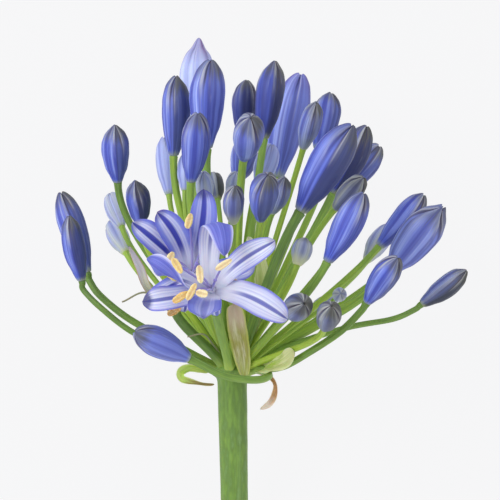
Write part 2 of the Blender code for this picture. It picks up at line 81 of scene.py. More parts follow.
lean = radians(head["lean"])
headHeight = mainStalk["length"] * sin(lean) + head["endRadius"] * cos(lean) - head["restSink"]
headAt = Vector((head["right"], head["forward"], headHeight)) * mm
laid = Matrix.Translation(headAt) @ Matrix.Rotation(lean, 4, "X")
upwards = laid.to_3x3().inverted() @ Vector((0, 0, 1))


# Places on the plant

def onPlant(spot):
    # What stands nearer looks larger to the viewer, so its true offset is less
    right, up, near = spot
    shrink = 1 - near / viewer["distance"]
    flat = [viewer[name] + (value - viewer[name]) * shrink for name, value in (("right", right), ("up", up))]
    return Vector((*flat, near)) * mm


def bezier(p0, p1, p2, p3, steps):
    made = []
    for i in range(steps + 1):
        t = i / steps
        s = 1 - t
        made.append(p0 * s**3 + p1 * 3 * s * s * t + p2 * 3 * s * t * t + p3 * t**3)
    return made


def smoothLine(points, steps):
    # One curve through all the points, with steps between each two
    ends = [points[0] * 2 - points[1], *points, points[-1] * 2 - points[-2]]
    made = [points[0]]
    for before, a, b, after in zip(ends, ends[1:], ends[2:], ends[3:]):
        made += bezier(a, a + (b - before) / 6, b - (after - a) / 6, b, steps)[1:]
    return made


def smoothProfile(profile, shares):
    # Values of a smooth curve through (share, value) pairs
    line = smoothLine([Vector((x, y, 0)) for x, y in profile], 10)
    return np.interp(shares, [p.x for p in line], [p.y for p in line])


def waysAlong(points):
    ahead = [(b - a).normalized() for a, b in zip(points, points[1:])]
    return [ahead[0], *[(a + b).normalized() for a, b in zip(ahead, ahead[1:])], ahead[-1]]


# Node trees, for shapes and for materials alike

class Flow:
    # What comes out of a node. A sum with it adds a Math node to its tree, and so does a call
    # of one of that node's operations, such as turn.cosine().
    def __init__(self, tree, socket):
        self.tree = tree
        self.socket = socket

    def __getattr__(self, operation):
        def calculate(*others):
            return addNode(self.tree, "ShaderNodeMath", [self, *others], operation=operation.upper())
        return calculate

    def __add__(self, other):
        return self.add(other)

    def __sub__(self, other):
        return self.subtract(other)

    def __rsub__(self, other):
        return addNode(self.tree, "ShaderNodeMath", [other, self], operation="SUBTRACT")

    def __mul__(self, other):
        return self.multiply(other)

    def __truediv__(self, other):
        return self.divide(other)

    __radd__ = __add__
    __rmul__ = __mul__


def addNode(tree, kind, values=(), out=0, **settings):
    # values feed the node's open inputs in order, or by name where they are a dictionary
    node = tree.nodes.new(kind)
    for name, value in settings.items():
        setattr(node, name, value)
    places = [socket for socket in node.inputs if socket.enabled]
    named = values if isinstance(values, dict) else dict(enumerate(values))
    for place, value in named.items():
        if isinstance(place, str):
            socket = next(socket for socket in places if socket.name == place)
        else:
            socket = places[place]
        if isinstance(value, Flow):
            tree.links.new(value.socket, socket)
        else:
            socket.default_value = value
    return Flow(tree, [socket for socket in node.outputs if socket.enabled][out])


def shapeNode(tree, kind, values=(), out=0, **settings):
    return addNode(tree, "GeometryNode" + kind, values, out, **settings)


def ease(value, low, high):
    # 0 under low, 1 over high, smooth between them
    return addNode(value.tree, "ShaderNodeMapRange", [value, low, high], interpolation_type="SMOOTHSTEP")


def bump(value, centre, width):
    # 1 at the centre, falling off smoothly to both sides
    off = (value - centre) / width
    return (off * off * -1).exponent()


def blend(factor, a, b):
    return a + (b - a) * factor


def combine(x, y, z):
    tree = next(part.tree for part in (x, y, z) if isinstance(part, Flow))
    return addNode(tree, "ShaderNodeCombineXYZ", [x, y, z])


def roundPlace(turn, along):
    # A place on a round piece, so that noise there has no seam
    return combine(turn.cosine(), turn.sine(), along)


def vectors(operation, a, *others):
    return addNode(a.tree, "ShaderNodeVectorMath", [a, *others], operation=operation)


def scaled(vector, factor):
    values = {"Vector": vector, "Scale": factor}
    return addNode(vector.tree, "ShaderNodeVectorMath", values, operation="SCALE")


def noise(vector, scale, detail=2.0, roughness=0.5):
    values = {"Vector": vector, "Scale": scale, "Detail": detail, "Roughness": roughness}
    return addNode(vector.tree, "ShaderNodeTexNoise", values)


def curveValue(factor, profile):
    made = addNode(factor.tree, "ShaderNodeFloatCurve", {"Value": factor})
    curve = made.socket.node.mapping.curves[0]
    for _ in profile[2:]:
        curve.points.new(0.5, 0.5)
    for point, place in zip(curve.points, profile):
        point.location = place
    made.socket.node.mapping.update()
    return made


# Geometry Nodes

def growTree(name, numbers, counts=()):
    # A tree that takes guide lines, its material, and numbers and counts under their names
    tree = bpy.data.node_groups.new(name, "GeometryNodeTree")
    tree.interface.new_socket("Geometry", in_out="OUTPUT", socket_type="NodeSocketGeometry")
    kinds = {"Geometry": "Geometry"} | dict.fromkeys(numbers, "Float") | dict.fromkeys(counts, "Int")
    for label, kind in (kinds | {"Material": "Material"}).items():
        tree.interface.new_socket(label, in_out="INPUT", socket_type="NodeSocket" + kind)
    entry = tree.nodes.new("NodeGroupInput")
    return tree, {socket.name: Flow(tree, socket) for socket in entry.outputs if socket.name}


def endTree(tree, shape, material):
    shape = shapeNode(tree, "SetShadeSmooth", [shape])
    shape = shapeNode(tree, "RealizeInstances", [shape])
    shape = shapeNode(tree, "SetMaterial", {"Geometry": shape, "Material": material})
    end = tree.nodes.new("NodeGroupOutput")
    tree.links.new(shape.socket, end.inputs[0])
    return tree


def unitGrid(tree, around, along):
    # A flat grid, and how far round and how far along each of its points is, from 0 to 1
    values = {"Size X": 1, "Size Y": 1, "Vertices X": around + 1, "Vertices Y": along + 1}
    grid = shapeNode(tree, "MeshGrid", values)
    parts = addNode(tree, "ShaderNodeSeparateXYZ", [shapeNode(tree, "InputPosition")]).socket.node.outputs
    return grid, Flow(tree, parts["X"]) + 0.5, Flow(tree, parts["Y"]) + 0.5


def store(shape, kind="FLOAT", **values):
    # Keeps values on the points, for the materials to read by name
    for name, value in values.items():
        inputs = {"Geometry": shape, "Name": name, "Value": value}
        shape = shapeNode(shape.tree, "StoreNamedAttribute", inputs, data_type=kind)
    return shape


def readNamed(tree, name, kind="FLOAT"):
    return shapeNode(tree, "InputNamedAttribute", {"Name": name}, data_type=kind)


def rolledUp(shape, position, mergeWithin=0.000002):
    # Moves the grid's points to their places and closes its seam and its ends
    shape = shapeNode(shape.tree, "SetPosition", {"Geometry": shape, "Position": position})
    return shapeNode(shape.tree, "MergeByDistance", {"Geometry": shape, "Distance": mergeWithin})


def seeds(seed):
    # A place far off in the noise for each seed
    return combine(seed * 3.1, seed * 1.7, 0.0)


# Meshes

def keepValues(mesh, values):
    # A number or a direction for each point, under its name
    for name, value in values.items():
        value = np.array(value, np.float32)
        kind, field = ("FLOAT", "value") if value.ndim == 1 else ("FLOAT_VECTOR", "vector")
        mesh.attributes.new(name, kind, "POINT").data.foreach_set(field, value.ravel())


def guideLines(name, lines):
    # Lines for a tree to follow. Each has its points and, for some names, a value at each point.
    values = {key: [value for line in lines for value in line[key]] for key in lines[0]}
    starts = np.cumsum([0, *[len(line["points"]) for line in lines]])
    edges = [(i, i + 1) for start, stop in zip(starts, starts[1:]) for i in range(start, stop - 1)]
    mesh = bpy.data.meshes.new(name)
    mesh.from_pydata(values.pop("points"), edges, [])
    keepValues(mesh, values)
    return mesh


def stemLine(points, thick, **values):
    # A guide line for a stem, with the same values at all its points
    same = {name: [value] * len(points) for name, value in values.items()}
    return {"points": points, "thick": thick} | same


def bladeLine(points, widths, facing, last):
    # A guide line whose blade turns its inner face from one direction to another on the way
    first, last = Vector(facing).normalized(), Vector(last).normalized()
    sides = []
    for share, ahead in zip(np.linspace(0, 1, len(points)), waysAlong(points)):
        turned = first.lerp(last, share * share * (3 - 2 * share))
        sides.append(ahead.cross(turned).normalized())
    return {"points": points, "side": sides, "width": widths}


def inputsOf(form):
    # The values of a piece that its tree takes
    return {name: value for name, value in form.items() if name[0].isupper()}


def newPiece(name, mesh):
    piece = bpy.data.objects.new(name, mesh)
    bpy.context.scene.collection.objects.link(piece)
    return piece


def grown(name, tree, values, guide=None, place=laid):
    # Runs a tree on its guide lines and keeps what grows as a plain mesh in its place
    piece = newPiece(name, guide or bpy.data.meshes.new(name))
    modifier = piece.modifiers.new("grow", "NODES")
    modifier.node_group = tree
    for item in tree.interface.items_tree:
        if item.in_out == "INPUT" and item.name in values:
            modifier[item.identifier] = values[item.name]
    seen = bpy.context.evaluated_depsgraph_get()
    shape = piece.evaluated_get(seen)
    mesh = bpy.data.meshes.new_from_object(shape, preserve_all_data_layers=True, depsgraph=seen)
    piece.modifiers.remove(modifier)
    piece.data = mesh
    mesh.name = name
    mesh.transform(place)
    return piece


def turnsOf(sides):
    return [fullTurn * j / sides for j in range(sides)]


def ringed(name, rings, ends, skin):
    # Rings of points, each joined to the next, with the faces at their ends. A point is its spot
    # and its values by name. A ring of one point comes last and has its faces among the ends.
    sides = len(rings[0])
    points = [point for ring in rings for point in ring]
    faces = []
    for start in range(0, len(points) // sides * sides - sides, sides):
        for j in range(sides):
            k = (j + 1) % sides
            faces.append((start + j, start + k, start + sides + k, start + sides + j))
    mesh = bpy.data.meshes.new(name)
    mesh.from_pydata([spot for spot, _ in points], [], faces + ends)
    keepValues(mesh, {key: [values[key] for _, values in points] for key in points[0][1]})
    mesh.materials.append(skin)
    mesh.shade_smooth()
    mesh.transform(laid)
    return newPiece(name, mesh)


def pressFlat(piece):
    # Nothing reaches under the surface that the head lies on
    for vertex in piece.data.vertices:
        vertex.co.z = max(vertex.co.z, 0)
    piece.data.update()


def joined(name, pieces):
    first = pieces[0]
    with bpy.context.temp_override(active_object=first, object=first, selected_editable_objects=pieces):
        bpy.ops.object.join()
    first.name = first.data.name = name
    return first


def ready(piece, slot, *nodes):
    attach(piece, "root")
    if nodes:
        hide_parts(*nodes)


# Materials

def colour(code):
    # A screen colour such as "#8899ff" as the linear one that a shader takes
    parts = [int(code[i : i + 2], 16) / 255 for i in (1, 3, 5)]
    return (*[part / 12.92 if part <= 0.04045 else ((part + 0.055) / 1.055) ** 2.4 for part in parts], 1)


skinSettings = {
    "soft": "Subsurface Weight",  # how much light passes in under the skin, and how far
    "depth": "Subsurface Scale",
    "gloss": "Specular IOR Level",
    "rough": "Roughness",
    "base": "Base Color",
    "glowTone": "Emission Color",
    "glow": "Emission Strength",
}


def newSkin(name, **settings):
    # A material, and its tree
    material = bpy.data.materials.new(name)
    material.use_nodes = True
    shader = material.node_tree.nodes["Principled BSDF"]
    for setting, value in settings.items():
        shader.inputs[skinSettings[setting]].default_value = value
    return material, material.node_tree


def read(tree, name, out="Fac"):
    made = addNode(tree, "ShaderNodeAttribute", attribute_name=name)
    return Flow(tree, made.socket.node.outputs[out])


def grained(tree, spread, detail=2.0, roughness=0.5):
    # Noise on the grain of a piece, finer where its spread is more
    return noise(vectors("MULTIPLY", read(tree, "grain", "Vector"), spread), 1.0, detail, roughness)


def mix(factor, a, b):
    tones = [colour(tone) if isinstance(tone, str) else tone for tone in (a, b)]
    return addNode(factor.tree, "ShaderNodeMix", [factor, *tones], data_type="RGBA")


def painted(tone, coats):
    # Coats over a tone, each of them how strong it is and its colour
    for strength, coat in coats:
        tone = mix(strength, tone, coat)
    return tone


def dress(tree, tone, rough=None, height=None, depth=0.0001, strength=0.5):
    # Joins a skin's colour, roughness and relief to its shader
    shader = tree.nodes["Principled BSDF"]
    tree.links.new(tone.socket, shader.inputs["Base Color"])
    if rough:
        tree.links.new(rough.socket, shader.inputs["Roughness"])
    if height:
        made = addNode(tree, "ShaderNodeBump", {"Strength": strength, "Distance": depth, "Height": height})
        tree.links.new(made.socket, shader.inputs["Normal"])


# Buds

# Buds by their numbers: foot, tip, greatest width, look, turn of the petals' pattern in degrees
buds = {
    1: ((-13.5, 83.5, -34), (-11.5, 117, -38), 12.2, "white", 195),
    2: ((-20.5, 75, 0), (-19.5, 103.5, 4), 10.1, "split", 318),
    3: ((-9, 77.5, 10), (-7.5, 109, 12), 12.4, "bright", 212),
    4: ((-14.5, 66, 26), (-12, 90.5, 34), 10.1, "bright", 270),
    5: ((-22, 61.5, -24), (-24, 82, -34), 7, "pale", 240),
    6: ((-40, 66, 6), (-41, 86.5, 14), 9.8, "blue", 236),
    7: ((-32, 51, 20), (-34, 67, 32), 8.6, "dark", 225),
    8: ((-38.5, 50.5, -24), (-42.5, 62.5, -34), 7, "paleGreen", 200),
    9: ((-37, 42, -38), (-42.5, 53, -51), 7.7, "young", 250),
    10: ((-50.5, 34, 2), (-59.8, 62.5, -2), 9.6, "blue", 232),
    11: ((-52.5, 31.5, 14), (-57, 54.5, 20), 8, "deep", 215),
    12: ((-14.5, 4.5, 40), (-34, 14, 47), 10.5, "clear", 300),
    13: ((4, 81, -10), (5, 102, -12), 8.8, "dark", 270),
    14: ((11, 81, 2), (15, 109, 0), 10.1, "navy", 250),
    15: ((4, 74.5, 30), (6.5, 89, 52), 10.8, "crowned", 246),
    16: ((15.5, 67, -40), (24, 104, -49), 13.3, "paleBlue", 222),
    17: ((30, 77.5, -8), (34.5, 97.5, -14), 10.1, "blue", 262),
    18: ((24.8, 78, 4), (29.5, 94.3, 16), 7.6, "frosted", 220),
    19: ((23.5, 55.5, 44), (42, 86, 48), 13.6, "halved", 322),
    20: ((35, 62, 8), (47, 86, 10), 10.5, "navy", 230),
    21: ((36.5, 61, -14), (51.5, 79, -22), 10.5, "blue", 236),
    22: ((36, 57, 20), (46, 68, 32), 8, "olive", 250),
    23: ((33, 38, 44), (46, 62.5, 48), 10.5, "bright", 250),
    24: ((47, 40, -36), (55.8, 52.3, -48), 7.7, "young", 250),
    25: ((51, 43.5, -4), (67, 62, -8), 9.1, "blue", 250),
    26: ((55, 35, 12), (73.5, 57.5, 18), 13.6, "clear", 262),
    27: ((47, 24, 38), (58, 40, 48), 9.4, "split", 255),
    28: ((66, 23.5, 16), (82, 35.5, 20), 7.7, "dusk", 330),
    29: ((20.6, 20.6, 37), (25.2, 24, 57), 9.6, "mossy", 20),
    30: ((32.2, 15, 42), (34.8, 23.2, 58), 8.6, "mossy", 30),
    31: ((37, 26.5, 22), (38, 27.5, 34), 5, "young", 0),
    32: ((10, 53, 42), (12.5, 69, 60), 10.1, "split", 305),
    33: ((14, 55.5, 14), (18.5, 68, 24), 7, "frosted", 230),
    34: ((0.5, 52, 40), (1, 65, 52), 7.5, "blush", 270),
    35: ((-5, 60, -14), (-6.5, 69.5, -26), 6.3, "olive", 240),
    36: ((22.6, 37.1, 23), (25.7, 46.9, 21.5), 7.5, "cream", 280),
    37: ((0, 60, 6), (1.5, 70, 16), 5.6, "paleGreen", 260),
    38: ((9, 65.5, -14), (14, 79.5, -22), 8.2, "pale", 220),
    39: ((-9, 58.5, 12), (-10, 70, 22), 6.3, "paleGreen", 200),
    40: ((-16.5, 63, 2), (-15.5, 77, -2), 6.3, "pale", 230),
    41: ((2, 67, -48), (5, 81, -63), 9.5, "blue", 60),
    42: ((-17, 38, -30), (-21, 49, -46), 9, "bright", 75),
    43: ((-5, 40, -35), (-7, 51, -50.5), 9.5, "split", 100),
    44: ((2, 29, -32), (3, 39, -46), 8.5, "pale", 60),
    45: ((36, 43, -30), (41, 53.5, -44), 8.6, "bright", 80),
    46: ((30, 62, -32), (35, 75, -47), 9.5, "blue", 90),
    47: ((58, 40, -16), (66, 50.5, -24), 8, "young", 230),
    48: ((12, 24, -24), (17, 31, -38), 8, "young", 60),
    49: ((-13, 22, -22), (-21, 29, -34), 8, "frosted", 90),
    50: ((28, 20, -14), (36, 25, -24), 7.5, "young", 70),
}
restingBuds = (9, 24, 41)
budLooks = {  # how far a bud goes towards each of the skin's tones, where that isn't 0
    "clear": {"Slate": 0.3, "Pale": 0.16, "Tip": 0.7},
    "bright": {"Slate": 0.45, "Tip": 0.75},
    "split": {"Slate": 1.0, "Dark": 0.1, "Tip": 0.85},
    "halved": {"Slate": 1.0, "Dark": 0.6, "Tip": 0.5, "Slate Side": radians(16)},
    "crowned": {"Slate": 0.5, "Dark": 0.1, "Young": 0.1, "Tip": 0.9},
    "blush": {"Slate": 0.8, "Dark": 0.28, "Young": 0.4, "Tip": 0.9, "Cream": 0.8},
    "blue": {"Slate": 0.75, "Dark": 0.16, "Tip": 0.85},
    "deep": {"Slate": 0.75, "Dark": 0.6, "Tip": 0.8},
    "frosted": {"Slate": 0.7, "Dark": 0.15, "Young": 0.3, "Tip": 0.95, "Cream": 0.3},
    "dark": {"Slate": 1.0, "Dark": 1.05, "Tip": 0.75},
    "navy": {"Slate": 1.0, "Dark": 1.7, "Tip": 0.85},
    "dusk": {"Slate": 1.0, "Dark": 0.9, "Young": 0.55, "Tip": 0.9},
    "mossy": {"Slate": 1.0, "Dark": 0.9, "Young": 0.65, "Tip": 1.0},
    "olive": {"Slate": 1.0, "Dark": 1.6, "Young": 0.9, "Tip": 0.6},
    "white": {"Pale": 0.9, "Mauve": 1.0},
    "paleBlue": {"Pale": 0.1, "Mauve": 0.5, "Slate": 0.35},
    "pale": {"Pale": 0.6, "Young": 0.1, "Tip": 0.2},
    "paleGreen": {"Pale": 0.6, "Young": 0.65, "Tip": 0.15},
    "cream": {"Pale": 0.25, "Young": 0.9, "Slate": 0.6, "Tip": 0.6, "Cream": 1.0},
    "young": {"Slate": 0.4, "Pale": 0.3, "Young": 0.8, "Tip": 0.35, "Cream": 0.4},
}
# Slate and Dark are strongest on the shade side of each bud: partly its own colour, partly painted shade
budTones = ("Slate", "Dark", "Pale", "Young", "Tip", "Mauve", "Cream")
budSlots = {  # the other buds are plain ones
    "bud_pale": (1, 5, 8, 16, 38, 39, 40, 44),
    "bud_young": (9, 24, 31, 33, 34, 35, 36, 37, 47, 48, 49, 50),
}
budForm = {
    "around": 84,
    "along": 56,
    "smallWidth": 8.5,  # buds narrower than this are rounder
    # half width along the length, as (share of the length, share of the half width)
    "long": ((0, 0.28), (0.14, 0.52), (0.38, 0.88), (0.64, 1), (0.83, 0.83), (0.95, 0.47), (1, 0)),
    "short": ((0, 0.3), (0.2, 0.66), (0.5, 0.98), (0.78, 0.88), (0.94, 0.46), (1, 0)),
    "coverVaries": 0.07,
    "bow": 0.02,  # the most that a bud bends, as a share of its length
    "Furrow": 0.05,  # how deep the inner petals lie under the outer ones, as shares of the radius
    "Crease": 0.018,
    "Rim": 0.015,
    "Keel": 0.03,
    "Lobes": 0.022,
    "Point": 0.0,
    "Twist": 0.16,
    "Cover": 0.9,  # 1 shows the inner petals broadly, 0.78 hides them under the outer ones
    # the side of the buds turned away from the key light, where their slate colour and painted shade are
    # strongest
    "Slate Side": radians(-12),
}
budsApart = {  # buds with a value of their own in place of budForm's
    "Point": {1: 0.08, 26: 0.05, 7: 0.05, 14: 0.03, 6: 0.03, 2: 0.01},
    "Cover": {
        29: 0.78, 30: 0.78, 31: 0.78, 15: 0.8, 32: 0.86, 16: 0.8, 3: 0.9, 14: 0.84, 13: 0.82,
        19: 0.87, 23: 0.82, 26: 0.92, 2: 0.86,
    },
    "Lobes": {
        26: 0.06, 15: 0.03, 19: 0.03, 10: 0.03, 29: 0.04, 30: 0.04, 1: 0.004, 14: 0.008, 6: 0.01, 7: 0.01,
    },
}


def budTree():
    names = ("Length", "Width", "Roundness", "Furrow", "Crease", "Rim", "Keel", "Lobes", "Point", "Twist")
    names += ("Turn", "Slate Side", "Bow", "Cover", "Seed", *budTones)
    tree, given = growTree("bud", names)
    shape, u, v = unitGrid(tree, budForm["around"], budForm["along"])
    turn = u * fullTurn
    along = 1 - (1 - v) * (1 - v)
    third = fullTurn / 3  # the outer petals are three
    pattern = (turn - given["Turn"] + given["Twist"] * along) / third
    # 0 on an outer petal's middle and 0.75 at its edge, beyond which an inner one shows
    reach = (pattern * fullTurn).cosine().arccosine() / pi * given["Cover"]
    outer = 1 - ease(reach, 0.7, 0.76)
    middle = blend(outer, pattern.floor() + 0.5, pattern.round()) * third
    petalSide = (middle + given["Turn"] - given["Slate Side"]).cosine()
    ownSide = (turn - given["Slate Side"]).cosine()
    profiles = [
        curveValue(v, [(1 - (1 - share) ** 0.5, value) for share, value in budForm[kind]])
        for kind in ("long", "short")
    ]
    rooted = (v * budForm["along"]).minimum(1.0)
    opened = ease(along, 0.05, 0.3)
    tip = ease(along, 0.6, 1)
    seeded = vectors("ADD", roundPlace(turn, along * 2.2), seeds(given["Seed"]))
    uneven = (noise(seeded, 1.3) - 0.5) * 0.16
    furrow = ease(reach, 0.7, 0.82) * given["Furrow"] * (0.35 + tip * 2.4)
    crease = bump(reach, 0.75, 0.06) * given["Crease"] * (0.2 + tip * 1.6)
    rim = bump(reach, 0.6, 0.14) * given["Rim"] * (0.3 + tip)
    keel = bump(reach, 0, 0.16) * given["Keel"] * tip
    relief = 1 + (uneven + rim + keel - furrow - crease) * opened
    wide = blend(given["Roundness"], *profiles) * given["Width"] * 0.5 * relief * rooted
    apart = given["Lobes"] * tip * (outer * 0.6 + bump(reach, 0, 0.4) - 0.8)
    drawnOut = given["Point"] * (ease(v, 0.78, 1) - along)
    pit = ease(v, 0.93, 1) * given["Lobes"]
    height = given["Length"] * (along + apart + drawnOut - pit)
    bowed = (along * pi).sine() * given["Bow"] * given["Length"]
    # shade: painted shade, 1 on the petals turned away from the key light and 0 on those turned towards it
    shade = ease(petalSide * 0.7 + ownSide * 0.3, -0.2, 0.55)
    shape = store(shape, along=along, across=reach, shade=shade, seed=given["Seed"])
    shape = store(shape, **{tone.lower(): given[tone] for tone in budTones})
    shape = store(shape, "FLOAT_VECTOR", grain=roundPlace(pattern * third, along * 0.5 + given["Seed"]))
    position = combine(wide * turn.cosine() + bowed, wide * turn.sine(), height)
    return endTree(tree, rolledUp(shape, position), given["Material"])


# light is the tone of the painted highlight; slate and slateLight go on the painted shade side, partly the
# buds' own colour
budColours = {
    "deep": "#444eb2", "middle": "#5a6dda", "light": "#bccbff", "slate": "#475082", "slateLight": "#616c9f",
    "dark": "#2d3462", "darkOlive": "#40443a", "seam": "#262b55", "edge": "#dfe2ee", "tip": "#54544e",
    "ridge": "#c9ccc6", "brown": "#6d6152", "foot": "#b9c48a", "pale": "#cbd6ff", "young": "#a9b0a8",
    "youngLight": "#cdd2cd", "mauve": "#77598c", "cream": "#d9dcb0",
}


def budSkin():
    tones = budColours
    material, tree = newSkin("budSkin", soft=0.06, depth=0.0012, gloss=0.35)
    along, across, shade = (read(tree, name) for name in ("along", "across", "shade"))
    slate, dark, pale, young, tipped, mauve, cream = (read(tree, tone.lower()) for tone in budTones)
    fine, broad = grained(tree, (11, 11, 1.4), 3.0, 0.6), grained(tree, (3, 3, 0.8))
    streaks = ease(grained(tree, (5.5, 5.5, 1.3), 3.0, 0.55), 0.34, 0.66)
    patches = ease(grained(tree, (2.2, 2.2, 5)), 0.38, 0.62)
    # lit: painted light, 1 on the side of a bud towards the key light, 0 on its painted shade side
    lit = 1 - shade
    wander = across + (broad - 0.5) * 0.16 + (fine - 0.5) * 0.07
    inner, upper, body = ease(wander, 0.7, 0.8), ease(along, 0.5, 0.88), ease(along, 0.1, 0.32)
    tip = ease(along + (fine - 0.5) * 0.26 + (streaks - 0.5) * 0.1, 0.74, 0.94)
    bands = ((across * 3.0 + broad * 2.2) * pi).cosine() * 0.5 + 0.5
    fibres, hollows = ease(fine, 0.53, 0.66), 1 - ease(fine, 0.34, 0.46)
    # glow: a painted highlight, a pale band on each outer petal, strongest on the lit side
    glow = bump(wander, 0.4, 0.22) * body * (lit * 0.85 + 0.12) + inner * lit * 0.3
    # the slate tones of the painted shade side, partly the buds' own slate colour
    shadedSlate = mix(ease(bands * 0.5 + streaks * 0.6, 0.1, 1.1), tones["slate"], tones["slateLight"])
    growing = mix(ease(fine, 0.3, 0.7), tones["young"], tones["youngLight"])
    darkest = mix(young, tones["dark"], tones["darkOlive"])
    # dim: the tips are darker on the painted shade side
    dim = 0.55 + shade * 0.35 + bump(wander, 0.1, 0.3) * 0.25
    ridge = bump(wander, 0.58, 0.1) * (0.25 + patches * 0.75) + bump(wander, 0.25, 0.08) * 0.4 * patches
    seamed = bump(across, 0.74, 0.07) * ease(along, 0.5, 0.85) * tipped
    seams = bump(across, 0.765, 0.045) * body * (0.15 + streaks * 0.15 + tip * 0.45)
    low = (1 - ease(along + (fine - 0.5) * 0.14, 0.0, 0.11)) * 0.7
    tone = mix(ease(bands * 0.6 + streaks * 0.6, 0.15, 0.95), tones["deep"], tones["middle"])
    tone = painted(tone, [
        # the painted highlight
        (glow * (0.1 + streaks * 0.55 + fibres * 0.55) * (1 - dark * 0.7), tones["light"]),
        (hollows * body * 0.4, tones["deep"]),
        (bump(wander, 0.02, 0.12) * ease(along, 0.08, 0.3) * (0.25 + streaks * 0.4), tones["deep"]),
        # slate over the painted shade side and at the tip, partly the buds' own colour
        (slate * (shade * (0.75 + fine * 0.25) + tip * 0.25).minimum(1.0), shadedSlate),
        (pale * (0.7 + bands * 0.35 - bump(across, 0, 0.16) * 0.2), tones["pale"]),
        (young * (0.3 + bump(wander, 0.5, 0.28) * 0.65), growing),
        # dark buds darker still on the painted shade side and lighter under the painted highlight
        ((dark * (0.3 + shade * 0.8 - glow * 0.2)).minimum(1.0), darkest),
        ((tip * tipped * dim).minimum(0.92), tones["tip"]),
        # whitish ridges near the tips, brighter on the lit side as painted highlight
        (ridge * upper * tipped * (0.25 + lit * 0.6), tones["ridge"]),
        (seamed * (0.35 + patches * 0.4), tones["brown"]),
        (mauve * ease(along, 0.7, 1) * (0.4 + bump(across, 0, 0.3) * 0.5), tones["mauve"]),
        (bump(across, 0.67, 0.04) * ease(along, 0.4, 0.85) * patches * 0.35, tones["edge"]),
        (seams * (1 - pale * 0.5), tones["seam"]),
        (low + cream * (1 - ease(along, 0.1, 0.5)) * 0.8, mix(cream, tones["foot"], tones["cream"])),
    ])
    dress(tree, tone, 0.4 + fine * 0.16 + tip * 0.08, fine + bands * 0.4, 0.00022, 0.35)
    return material


def budPlace(foot, tip):
    # Stands a bud on its foot, with its length towards its tip
    up = (tip - foot).normalized()
    right = Vector((1, 0, 0))
    right = (right - up * right.dot(up)).normalized()
    turned = Matrix((right, up.cross(right), up)).transposed().to_4x4()
    return Matrix.Translation(foot) @ turned


def makeBuds(tree, skin):
    feet = {}
    for number, (foot, tip, width, look, turn) in buds.items():
        name, order = f"bud_{number:02d}", number - 1
        foot, tip = onPlant(foot), onPlant(tip)
        values = inputsOf(budForm) | budLooks[look] | {
            "Length": (tip - foot).length,
            "Width": width * mm * (1 - foot.z / (viewer["distance"] * mm)),
            "Roundness": float(width < budForm["smallWidth"]),
            "Turn": radians(turn),
            "Cover": budForm["Cover"] + budForm["coverVaries"] * sin(order * 1.7),
            "Bow": budForm["bow"] * sin(order * 2.4),
            "Seed": float(order),
            "Material": skin,
        }
        values |= {label: own[number] for label, own in budsApart.items() if number in own}
        bud = grown(name + "_petals", tree, values, place=laid @ budPlace(foot, tip))
        up = (tip - foot).normalized()
        if number in restingBuds:
            low = min(vertex.co.z for vertex in bud.data.vertices) + head["restSink"] * mm
            bud.data.transform(Matrix.Translation((0, 0, -low)))
            foot = foot - upwards * low
            pressFlat(bud)
        ready(bud, next((slot for slot, numbers in budSlots.items() if number in numbers), "bud"), name)
        feet[number] = (foot, up, width)
    print("buds:", len(feet))
    return feet


# Open flowers

